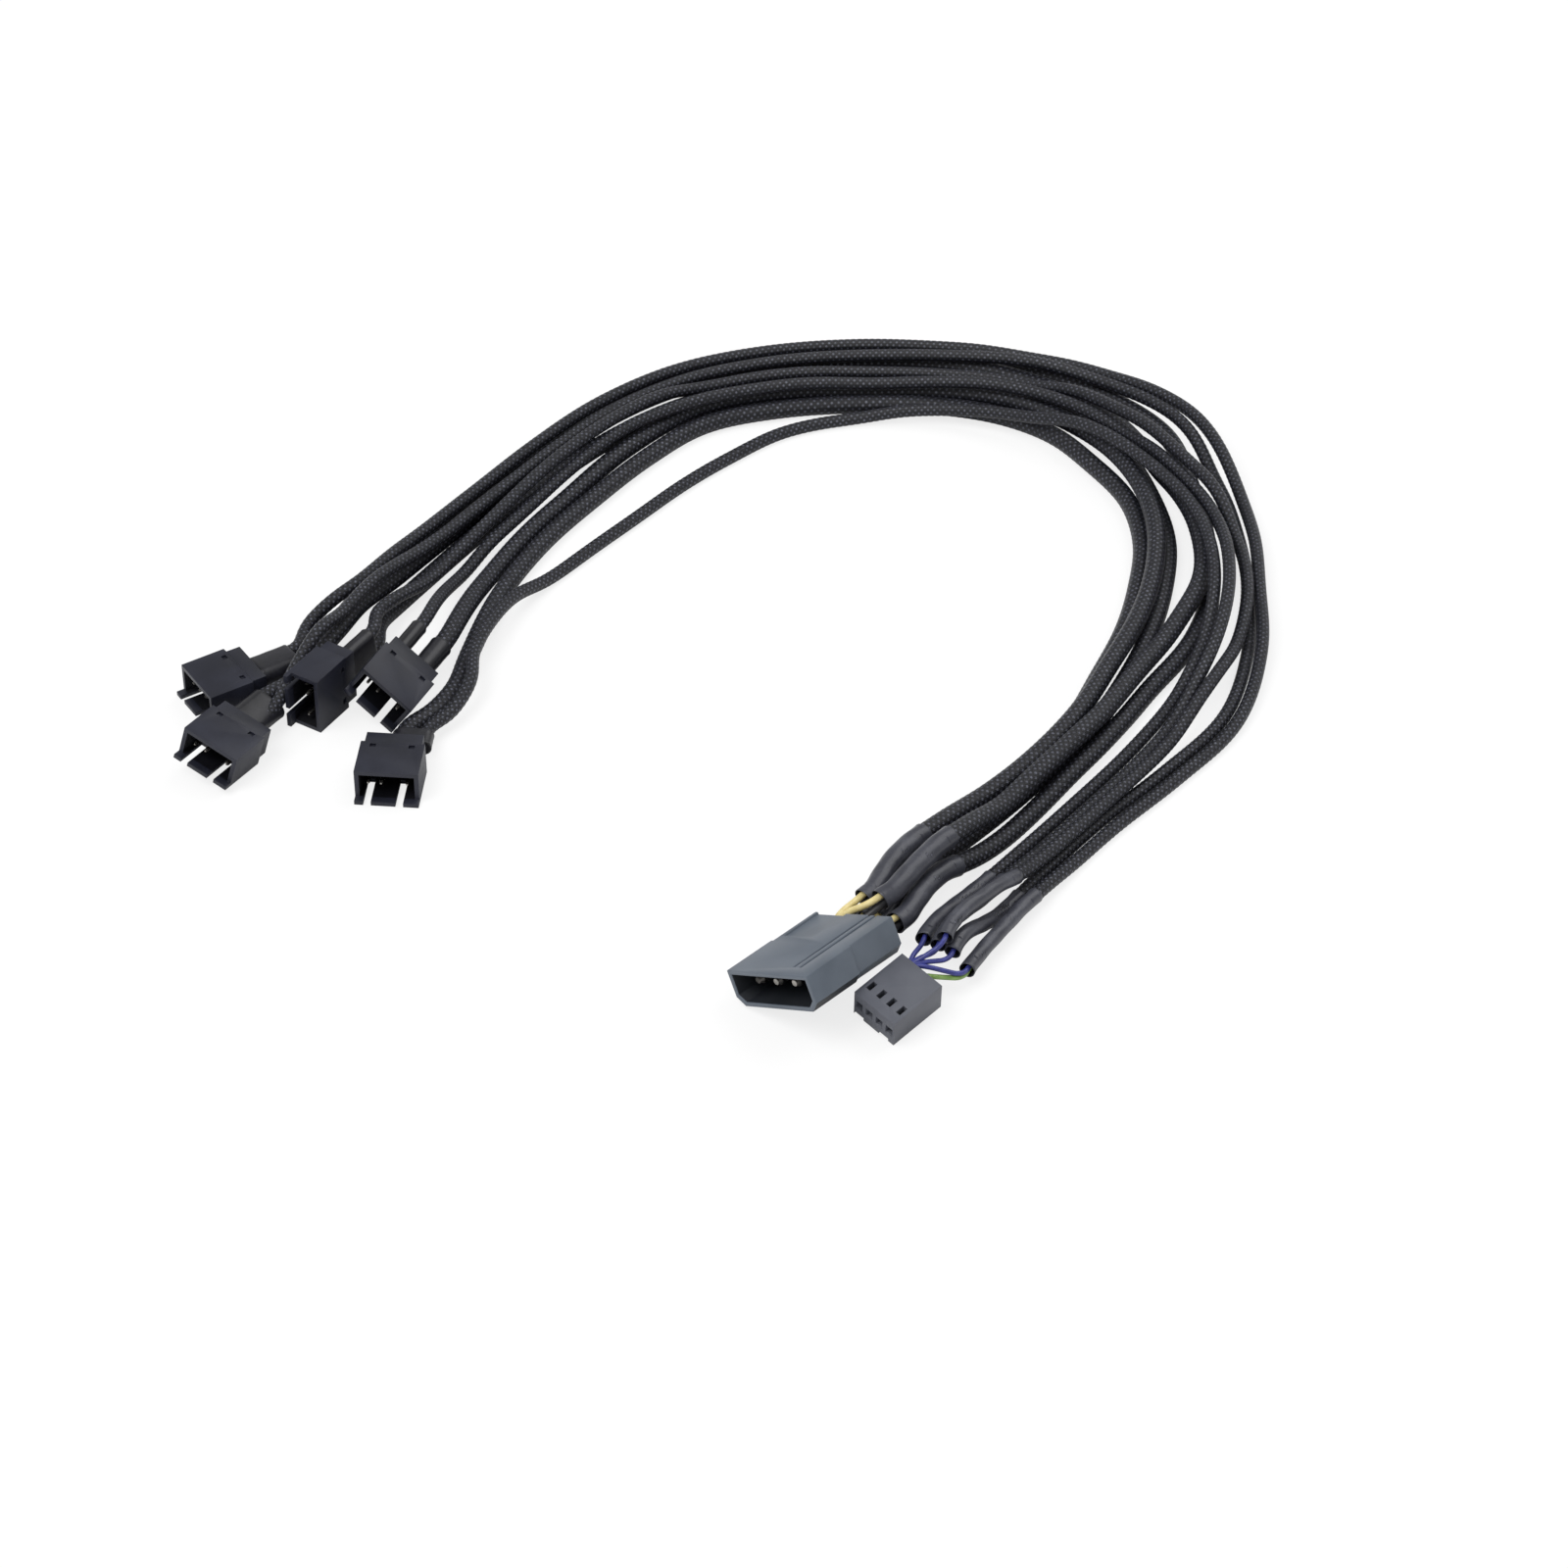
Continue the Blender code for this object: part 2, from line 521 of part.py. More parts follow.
def wires(name, frame, hub, hub_radius, hub_from, ends, slot):
    """Bare wires from one terminal: a hub in the housing and a wire to each end point, as one solid.

    Each wire leaves the hub towards its own level, then runs straight to its end, which is square to it.
    """
    x, z = hub
    body = add(name, mesh_of([rod(x, z, hub_radius, (hub_from, 0.0012), 10)]), frame)
    inverse = frame.matrix_world.inverted()
    for i, (level, before, end) in enumerate(ends):
        local = inverse @ Vector(before)
        first = Vector((x, 0.0002 + 0.0001 * i, z))
        bend = Vector((x, 0.0004, 0)).lerp(Vector((local.x, local.y, 0)), 0.3)
        bend.z = level
        path = [first, bend, local, inverse @ Vector(end)]
        wire = tube("%s_%d" % (name, i), path, WIRE_R, None, 1)
        wire.parent = frame
        wire.hide_render = True
        wire.display_type = "WIRE"
        mesh = bpy.data.meshes.new_from_object(wire.evaluated_get(bpy.context.evaluated_depsgraph_get()))
        strand = add("%s_strand_%d" % (name, i), mesh, frame)
        strand.hide_render = True
        strand.display_type = "WIRE"
        bpy.data.objects.remove(wire)
        union = body.modifiers.new("union", "BOOLEAN")
        union.operation = "UNION"
        union.solver = "EXACT"
        union.object = strand
    finish(body, slot)
    return body


# Start from an empty scene
for old in list(bpy.data.objects):
    bpy.data.objects.remove(old)

power_frame = power_plug()
socket_frame = pwm_socket()
fan_frames = {number: fan_plug(number) for number in FAN_PLUGS}
bpy.context.view_layer.update()

# Cables, and the heat-shrink sleeves at their host ends
laid = {}
for name in LAID_IN_ORDER:
    host = socket_frame if name.startswith("signal") else power_frame
    laid[name] = lay_cable(name, host, fan_frames[int(name[-1])], list(laid.values()))
wire_ends = {}
for name, (line, radii) in laid.items():
    thin = name.startswith("signal")
    shown = SIGNAL_WIRES_SHOW if thin else POWER_WIRES_SHOW
    covered = shown + (SIGNAL_SLEEVE_LENGTH if thin else POWER_SLEEVE_LENGTH)
    length = np.linalg.norm(np.diff(line, axis=0), axis=1).sum()
    number = int(name[-1])
    sleeve_line = knots(line, shown, covered, 10)
    tube("%s_sleeve" % name, sleeve_line, SIGNAL_SLEEVE_R if thin else POWER_SLEEVE_R, "heat_shrink")
    cable_end = length - FAN_SLEEVE[number] - 1.4 * FACE_GAP
    cable_line = knots(line, covered + FACE_GAP, cable_end, SIGNAL_POINTS if thin else POWER_POINTS)
    tube("%s_cable" % name, cable_line, SIGNAL_R if thin else POWER_R, "braided_sleeve")
    wire_ends[name] = stretch(line, shown - WIRE_GAP - WIRE_STRAIGHT, shown - WIRE_GAP)[[0, -1]]

# Sleeves behind the fan plugs: one round both cables, or one on each at the plug that leans
for number, frame in fan_frames.items():
    ends = (FACE_GAP, FAN_SLEEVE[number] - 0.0001)
    seats = [(FAN_SEATS["power_%d" % number], POWER_R), (FAN_SEATS["signal_%d" % number], SIGNAL_R)]
    if number == LEANING_PLUG:
        for which, ((x, z), radius) in zip(("power", "signal"), seats):
            rings = rod(x * MM, z * MM, radius + FAN_SLEEVE_WALL, ends, 14)
            sleeve = add("fan_sleeve_%d_%s" % (number, which), mesh_of([rings]), frame)
            finish(sleeve, "heat_shrink")
    else:
        low = min(x * MM - radius for (x, z), radius in seats) - FAN_SLEEVE_WALL
        high = max(x * MM + radius for (x, z), radius in seats) + FAN_SLEEVE_WALL
        z = seats[0][0][1] * MM
        rings = [flat_oval((low, high), z, POWER_R + FAN_SLEEVE_WALL, y) for y in ends]
        sleeve = add("fan_sleeve_%d" % number, mesh_of([rings]), frame)
        finish(sleeve, "heat_shrink")

# Bare wires: 12 V and ground to every power cable, PWM to every signal cable, speed to the first
up = power_frame.matrix_world.to_3x3() @ Vector((0, 0, 1))
offset = np.array(up) * 0.00075
yellow, black = [], []
for number in FAN_PLUGS:
    ends = wire_ends["power_%d" % number]
    upper = HOST_SEATS["power_%d" % number][1] > 0
    yellow.append((0.0027 if upper else -0.0009, *(ends + offset)))
    black.append((0.0009 if upper else -0.0027, *(ends - offset)))
hub_back = -POWER_PIN_BACK + FACE_GAP
wires("yellow_wires", power_frame, (-1.5 * POWER_PITCH, 0), POWER_HUB_R, hub_back, yellow, "yellow_wire")
wires("black_wires", power_frame, (-0.5 * POWER_PITCH, 0), POWER_HUB_R, hub_back, black, "black_wire")
up = socket_frame.matrix_world.to_3x3() @ Vector((0, 0, 1))
offset = np.array(up) * 0.00062
blue = []
for number in FAN_PLUGS:
    ends = wire_ends["signal_%d" % number]
    blue.append((0.0008, *(ends + offset if number == 1 else ends)))
contact_back = -CONTACT_BACK + FACE_GAP
wires("blue_wires", socket_frame, (-1.5 * FAN_PITCH, 0), SOCKET_HUB_R, contact_back, blue, "blue_wire")
green = [(-0.0008, *(wire_ends["signal_1"] - offset))]
wires("green_wire", socket_frame, (-0.5 * FAN_PITCH, 0), SOCKET_HUB_R, contact_back, green, "green_wire")
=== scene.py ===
"""Looks of a fan splitter cable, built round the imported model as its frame.

The object lies on a pale table: five thick braided power cables and five thin braided signal cables run
from the two host plugs, in front, round an arch to five fan plugs, at the left. Metres, +Z up.
"""
import math

import bmesh
import bpy
import numpy as np
from mathutils import Matrix, Vector


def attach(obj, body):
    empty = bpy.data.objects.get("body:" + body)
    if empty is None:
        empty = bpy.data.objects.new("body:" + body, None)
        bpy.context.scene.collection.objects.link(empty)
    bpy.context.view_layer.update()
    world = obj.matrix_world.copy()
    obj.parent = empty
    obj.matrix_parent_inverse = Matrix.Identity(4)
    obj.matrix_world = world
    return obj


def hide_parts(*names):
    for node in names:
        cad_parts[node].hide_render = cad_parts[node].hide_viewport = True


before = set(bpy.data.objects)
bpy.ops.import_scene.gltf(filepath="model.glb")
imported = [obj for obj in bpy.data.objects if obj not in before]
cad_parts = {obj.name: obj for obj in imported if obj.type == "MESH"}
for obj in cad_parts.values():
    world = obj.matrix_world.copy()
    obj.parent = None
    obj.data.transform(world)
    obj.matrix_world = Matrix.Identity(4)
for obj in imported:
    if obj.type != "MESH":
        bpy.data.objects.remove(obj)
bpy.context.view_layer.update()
scene = bpy.context.scene

# Camera
# The photograph was taken from the front, from well above the table, with a long lens. The camera looks
# at the middle of its frame from 0.9 m away.
MM = 0.001
CENTRE = (-45.96, -20.63)
CAMERA_ELEVATION = math.radians(40)
CAMERA_DISTANCE = 0.9
CAMERA_LENS = 106.31
CAMERA_SENSOR = 36.0
CAMERA_SEES = (0.05, 20)

target = Vector((-CENTRE[0] * MM, -CENTRE[1] * MM, 0))
camera = bpy.data.objects.new("camera", bpy.data.cameras.new("camera"))
scene.collection.objects.link(camera)
camera.data.sensor_width = CAMERA_SENSOR
camera.data.lens = CAMERA_LENS
camera.data.clip_start, camera.data.clip_end = CAMERA_SEES
back = Vector((0, -math.cos(CAMERA_ELEVATION), math.sin(CAMERA_ELEVATION)))
camera.location = target + CAMERA_DISTANCE * back
camera.rotation_euler = (math.pi / 2 - CAMERA_ELEVATION, 0, 0)
scene.camera = camera

# Places of the plugs
# Seven moulded housings lie on the table, some flat and some leaning on a corner. Each place is the
# middle of a plug's back: plan position (mm), heading of its wires, pitch and roll (degrees).
POWER_WIDTH = 0.0222
POWER_HEIGHT = 0.0074
POWER_LENGTH = 0.0236
POWER_CHAMFER = 0.0018
SOCKET_WIDTH = 0.0102
SOCKET_HEIGHT = 0.0066
SOCKET_LENGTH = 0.0124
FAN_WIDTH = 0.0126
FAN_HEIGHT = 0.007
FAN_TONGUE_LENGTH = 0.0142
POWER_PLUG = (14.0, -51.5, 47, -2, -28)
PWM_SOCKET = (25.2, -62.7, 44, 8, 9)
FAN_PLUGS = {
    1: (-105.4, 30.0, 33, 0, 0),
    2: (-105.4, 11.6, 60, -6, 14),
    3: (-87.5, 28.2, 58, 0, 90),
    4: (-74.2, 29.8, 65, 0, 35),
    5: (-75.6, 7.4, 85, 0, 0),
}


def d_shape(width, height, chamfer, y):
    """A rectangle across the plug, with its two lower corners cut off."""
    w, h, c = width / 2, height / 2, chamfer
    corners = [(-w + c, -h), (w - c, -h), (w, -h + c), (w, h), (-w, h), (-w, -h + c)]
    return [(x, y, z) for x, z in corners]


def seat(plug, height, width, length, chamfer=0.0):
    """Place of the middle of a plug's back, lifted so the plug's lowest corner is on the table."""
    x, y, heading, pitch, roll = plug
    turn = (Matrix.Rotation(math.radians(heading - 90), 4, "Z") @ Matrix.Rotation(math.radians(pitch), 4, "X")
            @ Matrix.Rotation(math.radians(roll), 4, "Y"))
    corners = d_shape(width, height, chamfer, 0.0) + d_shape(width, height, chamfer, -length)
    lift = -min((turn @ Vector(point)).z for point in corners)
    return Matrix.Translation(((x - CENTRE[0]) * MM, (y - CENTRE[1]) * MM, lift)) @ turn


power_seat = seat(POWER_PLUG, POWER_HEIGHT, POWER_WIDTH, POWER_LENGTH, POWER_CHAMFER)
socket_seat = seat(PWM_SOCKET, SOCKET_HEIGHT, SOCKET_WIDTH, SOCKET_LENGTH)
fan_seats = {number: seat(plug, FAN_HEIGHT, FAN_WIDTH, FAN_TONGUE_LENGTH)
             for number, plug in FAN_PLUGS.items()}

# Routes of the cables
# Each cable leaves its host plug, follows the bundle round the arch in its own lane and turns off to its
# fan plug. It lies on the table, or in a low hump over the cables that were laid before it.
CABLE_R = {"power": 0.0019, "signal": 0.00128}
SLEEVE_R = {"power": 0.0021, "signal": 0.00145}
SLEEVE_LENGTH = {"power": 0.022, "signal": 0.026}
WIRES_SHOW = {"power": 0.006, "signal": 0.0085}
HOST_LEAD = {"power": 0.007, "signal": 0.003}
HOST_DROP = {"power": 0.042, "signal": 0.03}
WIRE_R = 0.00045
CLEAR = 0.0005
STEP = 0.001
CURVE_STEPS = 24
EASE = 9
LIFT_EASE = 5
FREE_RUN = 0.006
HOST_START = 1.0
FAN_START = 0.3
FAN_LEAD = 0.0018
FAN_LEAD_SHARES = (1, 0.7, 0)
FAN_DROP = 0.018
LEANING_DROP = 0.03
FAN_SLEEVE = {1: 0.009, 2: 0.009, 3: 0.009, 4: 0.009, 5: 0.0046}
FAN_SLEEVE_ROOM = 0.001
FAN_SLEEVE_SWELL = 0.0003
LEANING_PLUG = 4
LAID_IN_ORDER = ["power_5", "power_3", "power_1", "power_4", "power_2",
                 "signal_5", "signal_4", "signal_2", "signal_1", "signal_3"]

# Middle line of the bundle in plan, from the host plugs round to the fan plugs (mm)
SPINE = [(20.4, -44.3), (27, -36), (39, -21), (52, -6), (64, 9), (74, 25), (81, 42), (84, 59), (84, 76),
         (81, 93), (74, 109), (63, 121), (49, 129), (33, 133), (15, 133.5), (-3, 131.5), (-21, 126),
         (-37, 115.5), (-50.5, 101), (-63, 85), (-75, 68), (-86, 52)]

# How far outside that line each cable lies at each of its points (mm)
LANES = {
    "power_1": [2.8, 0.6, 1.0, -0.6, -1.6, -2.2, 0.8, 3.0, 3.3, 4.6, 8.4,
                8.6, 8.0, 7.8, 8.2, 7.4, 6.4, 5.4, 5.2, 4.8, 4.1, 2.6],
    "power_2": [-0.6, -1.4, -1.6, -2.9, -3.9, -4.9, -2.9, 1.0, 1.2, -0.2, 1.5,
                3.0, 3.6, 3.9, 4.2, 3.5, 2.6, 1.4, 1.0, 0.6, -0.1, -1.6],
    "power_3": [-1.5, -4.3, -4.6, -5.2, -5.9, -7.5, -7.8, -6.6, -4.9, -4.6, -3.2,
                -1.2, -0.6, -0.4, 0.0, -0.6, -1.6, -2.8, -3.2, -3.6, -4.3, -5.8],
    "power_4": [-5.0, -7.4, -7.5, -7.0, -8.4, -10.6, -10.4, -8.9, -7.4, -7.0, -7.0,
                -5.6, -4.8, -4.7, -4.5, -4.9, -5.7, -8.8, -10.4, -12.0, -15.8],
    "power_5": [-5.4, -9.6, -10.5, -9.9, -10.2, -12.7, -13.0, -12.0, -10.1, -9.7, -11.0,
                -9.6, -9.0, -9.0, -9.0, -9.1, -9.8, -13.0, -14.8, -16.4, -20.4, -27.4],
    "signal_1": [18.4, 17.0, 15.4, 14.2, 15.3, 17.3, 15.2, 12.8, 13.0, 13.5, 14.3,
                 11.6, 8.4, 6.4, 6.6, 5.8, 4.7, 3.5, 3.1, 2.7, 2.0, 1.4],
    "signal_2": [14.8, 13.6, 12.2, 11.0, 12.2, 14.2, 12.4, 10.8, 10.2, 10.6, 11.3,
                 8.4, 4.8, 2.2, 2.2, 1.5, 0.5, -0.7, -1.1, -1.5, -2.2, -3.0],
    "signal_3": [13.0, 12.3, 11.7, 10.6, 10.0, 9.4, 10.2, 10.2, 8.0, 2.6, -0.2,
                 -0.8, -1.4, -2.5, -2.3, -2.7, -3.6, -5.0, -5.6, -6.2, -7.2, -8.4],
    "signal_4": [11.2, 9.0, 8.4, 7.2, 6.5, 6.4, 6.8, 6.2, 4.4, -0.2, -2.6,
                 -4.0, -5.4, -6.6, -6.7, -6.8, -7.6, -7.4, -8.0, -9.0, -10.4],
    "signal_5": [7.6, 5.6, 5.2, 4.1, 3.4, 3.3, 3.9, 3.2, 0.8, -4.0, -8.4,
                 -11.2, -12.2, -12.6, -13.4, -16.5, -22.3, -24.9, -25.6, -25.1, -24.6, -29.3],
}

# Plan points that a cable passes after the spine, on its way to its fan plug (mm)
APPROACH = {
    "power_1": [(-91.0, 42.8)],
    "power_2": [(-89.2, 40.0), (-93.6, 31.0), (-98.9, 23.8)],
    "power_3": [(-82.0, 43.0)],
    "power_4": [],
    "power_5": [(-65.2, 27.6), (-70.1, 18.0)],
    "signal_1": [(-96.0, 44.3)],
    "signal_2": [(-88.6, 39.6), (-93.2, 31.0), (-97.3, 24.0)],
    "signal_3": [(-81.8, 43.0)],
    "signal_4": [],
    "signal_5": [(-62.0, 26.2), (-66.4, 16.6)],
}

# Across and up places of the cables behind the host plugs and the fan plugs (mm)
HOST_SEATS = {
    "power_5": (-7.0, -1.8), "power_3": (-2.5, -1.8), "power_1": (2.0, -1.8),
    "power_4": (-4.8, 2.2), "power_2": (-0.2, 2.2),
    "signal_5": (-4.8, -1.4), "signal_4": (-1.6, -1.4), "signal_2": (1.6, -1.4),
    "signal_1": (4.8, -1.4), "signal_3": (0.0, 1.6),
}
FAN_SEATS = {
    "power_1": (1.8, 0.0), "signal_1": (-2.3, 0.0),
    "power_2": (-2.4, 0.0), "signal_2": (1.6, 0.0),
    "power_3": (1.8, 0.0), "signal_3": (-2.2, 0.0),
    "power_4": (2.6, 0.0), "signal_4": (-3.2, 0.0),
    "power_5": (0.8, -1.1), "signal_5": (5.1, -0.6),
}


def kind_and_number(name):
    """Power or signal, and which fan plug the cable goes to."""
    kind, number = name.split("_")
    return kind, int(number)


def across_at(i):
    """Outward direction in plan at a point of the spine."""
    before = Vector(SPINE[max(i - 1, 0)])
    after = Vector(SPINE[min(i + 1, len(SPINE) - 1)])
    along = (after - before).normalized()
    return Vector((along.y, -along.x))


def distances(points):
    """Distance of each point along its line."""
    return np.concatenate([[0], np.cumsum(np.linalg.norm(np.diff(points, axis=0), axis=1))])


def evenly(points, count):
    """The same line with evenly spaced points."""
    run = distances(points)
    places = np.linspace(0, run[-1], count)
    return np.stack([np.interp(places, run, points[:, k]) for k in range(points.shape[1])], axis=1)


def curve_through(points):
    """Smooth plan line through the points, a point every STEP."""
    p = [np.array(point, float) for point in points]
    p = [2 * p[0] - p[1], *p, 2 * p[-1] - p[-2]]
    line = []
    for a, b, c, d in zip(p, p[1:], p[2:], p[3:]):
        t1 = np.linalg.norm(b - a) ** 0.5
        t2 = t1 + np.linalg.norm(c - b) ** 0.5
        t3 = t2 + np.linalg.norm(d - c) ** 0.5
        for t in np.linspace(t1, t2, CURVE_STEPS, endpoint=False):
            ab = a + (b - a) * t / t1
            bc = b + (c - b) * (t - t1) / (t2 - t1)
            cd = c + (d - c) * (t - t2) / (t3 - t2)
            abc = ab + (bc - ab) * t / t2
            bcd = bc + (cd - bc) * (t - t1) / (t3 - t1)
            line.append(abc + (bcd - abc) * (t - t1) / (t2 - t1))
    line.append(p[-2])
    line = np.array(line)
    return evenly(line, round(distances(line)[-1] / STEP) + 1)


def height_needed(plan, radius, laid):
    """Height at which each point lies on the table or on the cables already there."""
    height = radius.copy()
    for points, radii in laid:
        apart = ((plan[:, None, :] - points[None, :, :2]) ** 2).sum(axis=2)
        reach = radius[:, None] + radii[None, :] + CLEAR
        over = points[None, :, 2] + np.sqrt(np.maximum(reach ** 2 - apart, 0))
        height = np.maximum(height, np.where(apart < reach ** 2, over, 0).max(axis=1))
    return height


def running(values, half, how):
    """Highest or mean value within half steps each way."""
    padded = np.pad(values, half, mode="edge")
    return np.array([how(padded[i:i + 2 * half + 1]) for i in range(len(values))])


def eased(values, reach):
    """A low hump over the values, nowhere under them."""
    hump = running(values, reach, np.max)
    hump = running(hump, reach // 2, np.mean)
    hump = running(hump, reach // 2, np.mean)
    return np.maximum(hump, values)


def fade(t):
    """From 0 to 1 without a kink at either end."""
    t = np.clip(t, 0, 1)
    return t * t * (3 - 2 * t)


def place_on(place, across, along, up):
    """A point in a plug's frame, given in millimetres."""
    return np.array(place @ (Vector((across, along, up)) * MM))


def radii_along(name, run):
    """Radius of what a cable shows at each distance: wires, sleeve, cable, fan sleeve."""
    kind, number = kind_and_number(name)
    base = CABLE_R[kind]
    covered = WIRES_SHOW[kind] + SLEEVE_LENGTH[kind]
    fan_end = run[-1] - FAN_SLEEVE[number] - FAN_SLEEVE_ROOM
    radius = np.where(run < covered, SLEEVE_R[kind], np.where(run > fan_end, base + FAN_SLEEVE_SWELL, base))
    return np.where(run < WIRES_SHOW[kind], 2 * WIRE_R, radius)


def lay_cable(name, host, fan, laid):
    """One cable's centre line from host plug to fan plug, laid over the others."""
    kind, number = kind_and_number(name)
    lead = HOST_LEAD[kind]
    tail = FAN_SLEEVE[number] + FAN_LEAD
    fan_drop = LEANING_DROP if number == LEANING_PLUG else FAN_DROP
    start = place_on(host, HOST_SEATS[name][0], HOST_START, HOST_SEATS[name][1])
    end = place_on(fan, FAN_SEATS[name][0], FAN_START, FAN_SEATS[name][1])
    out_of_host = np.array(host.to_3x3() @ Vector((0, 1, 0)))
    out_of_fan = np.array(fan.to_3x3() @ Vector((0, 1, 0)))
    points = [start[:2], (start + lead * out_of_host)[:2]]
    for i, lane in enumerate(LANES[name]):
        point = Vector(SPINE[i]) + lane * across_at(i) - Vector(CENTRE)
        points.append(np.array(point) * MM)
    points += [(np.array(point) - CENTRE) * MM for point in APPROACH[name]]
    points += [(end + share * tail * out_of_fan)[:2] for share in FAN_LEAD_SHARES]
    plan = curve_through(points)
    run = np.linspace(0, 1, len(plan)) * distances(plan)[-1]
    radius = radii_along(name, run)
    needed = height_needed(plan, radius, laid)
    height = eased(needed, EASE)
    ends = ((run, start, out_of_host, lead, HOST_DROP[kind]),
            (run[-1] - run, end, out_of_fan, tail, fan_drop))
    for distance, point, out, straight, fall in ends:
        slope = out[2] / np.linalg.norm(out[:2])
        level = point[2] + slope * np.minimum(distance, straight)
        share = 1 - fade((distance - straight) / fall)
        height = height * (1 - share) + level * share
    free = fade((run - lead) / FREE_RUN) * fade((run[-1] - run - tail) / FREE_RUN)
    height = height + eased(np.maximum(needed - height, 0) * free, LIFT_EASE)
    return np.column_stack([plan, height]), radius


def stretch(points, first, last):
    """The part of a line between two distances from its start."""
    run = distances(points)
    places = np.concatenate([[first], run[(run > first) & (run < last)], [last]])
    return np.stack([np.interp(places, run, points[:, k]) for k in range(3)], axis=1)


laid = {}
for name in LAID_IN_ORDER:
    kind, number = kind_and_number(name)
    host = socket_seat if kind == "signal" else power_seat
    laid[name] = lay_cable(name, host, fan_seats[number], list(laid.values()))
lines = {name: line for name, (line, radii) in laid.items()}

# Braided cables
# Each cable is a bunch of wires inside a tubular braid of black polyester monofilament. Ribbons of a few
# filaments wind round it both ways, over and under each other, and catch the light where they cross.
RIBBONS = {"power": 8, "signal": 6}
RIBBON_WIDTH = 0.86
RIBBON_RISE = 0.00016
RIBBON_SINK = 0.4
RIBBON_CROWN = 0.55
RIBBON_SWING = 0.45
WEAVE_SHIFT = 0.125
CROSSING_RINGS = 3
CROSSING_SIDES = 4
BRAID_SOFTENING = 6
BRAID_STARTS_INSIDE = 0.0015
BRAID_STOPS_SHORT = 0.0006


def link(name, data):
    """A new object of the scene."""
    obj = bpy.data.objects.new(name, data)
    scene.collection.objects.link(obj)
    return obj


def frames_along(points):
    """Direction, side and up at each point, turning as little as possible from one to the next."""
    tangent = np.gradient(points, axis=0)
    tangent /= np.linalg.norm(tangent, axis=1)[:, None]
    side = np.cross(tangent[0], (0, 0, 1))
    sides = []
    for direction in tangent:
        side = side - direction * side.dot(direction)
        side = side / np.linalg.norm(side)
        sides.append(side)
    sides = np.array(sides)
    return tangent, sides, np.cross(sides, tangent)


def outward(angle, side, up):
    """Outward directions round a line, at each of its points and each of the angles."""
    angle = angle[None, :, None]
    return np.cos(angle) * side[:, None, :] + np.sin(angle) * up[:, None, :]


def softened(points, half):
    """The line with its small kinks averaged out, ends kept."""
    padded = np.pad(points, ((half, half), (0, 0)), mode="reflect", reflect_type="odd")
    return np.array([padded[i:i + 2 * half + 1].mean(axis=0) for i in range(len(points))])


def weave_height(a, b):
    """Rise of the ribbons at a place in the braid; a and b count ribbons of the two directions."""
    phase = np.cos(np.pi * (np.floor(a) + np.floor(b)))
    across_a = np.clip(np.abs(2 * (a % 1) - 1) / RIBBON_WIDTH, 0, 1)
    across_b = np.clip(np.abs(2 * (b % 1) - 1) / RIBBON_WIDTH, 0, 1)
    swing_a = RIBBON_SWING * phase * np.cos(np.pi * (b % 1 - 0.5))
    swing_b = RIBBON_SWING * phase * np.cos(np.pi * (a % 1 - 0.5))
    crown_a = np.sqrt(1 - across_a ** 2) * (RIBBON_CROWN + swing_a)
    crown_b = np.sqrt(1 - across_b ** 2) * (RIBBON_CROWN - swing_b)
    return np.maximum(crown_a, crown_b)


def ring_mesh(name, rings, uv=None):
    """A closed mesh from an array of rings of points, shape (rings, sides, 3)."""
    count, sides = rings.shape[:2]
    i = np.arange(count - 1)[:, None] * sides
    j = np.arange(sides)[None, :]
    following = (j + 1) % sides
    quads = np.stack([i + j, i + following, i + sides + following, i + sides + j], axis=2).reshape(-1, 4)
    faces = [tuple(quad) for quad in quads.tolist()]
    faces.append(tuple(range(sides))[::-1])
    faces.append(tuple(range((count - 1) * sides, count * sides)))
    data = bpy.data.meshes.new(name)
    data.from_pydata(rings.reshape(-1, 3).tolist(), [], faces)
    if uv is not None:
        corners = np.zeros((len(data.loops), 2), np.float32)
        wide = uv.shape[1]
        column = np.arange(count - 1)[:, None] * wide
        tile = np.stack([column + j, column + j + 1, column + wide + j + 1, column + wide + j], axis=2)
        corners[:tile.size] = uv.reshape(-1, 2)[tile.reshape(-1)]
        data.uv_layers.new(name="weave").data.foreach_set("uv", corners.reshape(-1))
    data.validate()
    data.shade_smooth()
    return data


def braid(name, points, radius, ribbons):
    """A braided tube along the points, its ribbons raised, with ribbon counts as its UV."""
    crossing = math.tau * radius / ribbons
    total = distances(points)[-1]
    count = round(total / crossing * CROSSING_RINGS) + 1
    line = softened(evenly(points, count), BRAID_SOFTENING)
    side, up = frames_along(line)[1:]
    turn = np.arange(ribbons * CROSSING_SIDES + 1) / CROSSING_SIDES
    along = np.arange(count)[:, None] / CROSSING_RINGS
    a = turn[None, :] + along + WEAVE_SHIFT
    b = turn[None, :] - along + WEAVE_SHIFT
    rise = radius + RIBBON_RISE * (weave_height(a, b) - RIBBON_SINK)
    rings = line[:, None, :] + rise[:, :, None] * outward(math.tau * turn / ribbons, side, up)
    return link(name, ring_mesh(name, rings[:, :-1], np.stack([a, b], axis=2))), line


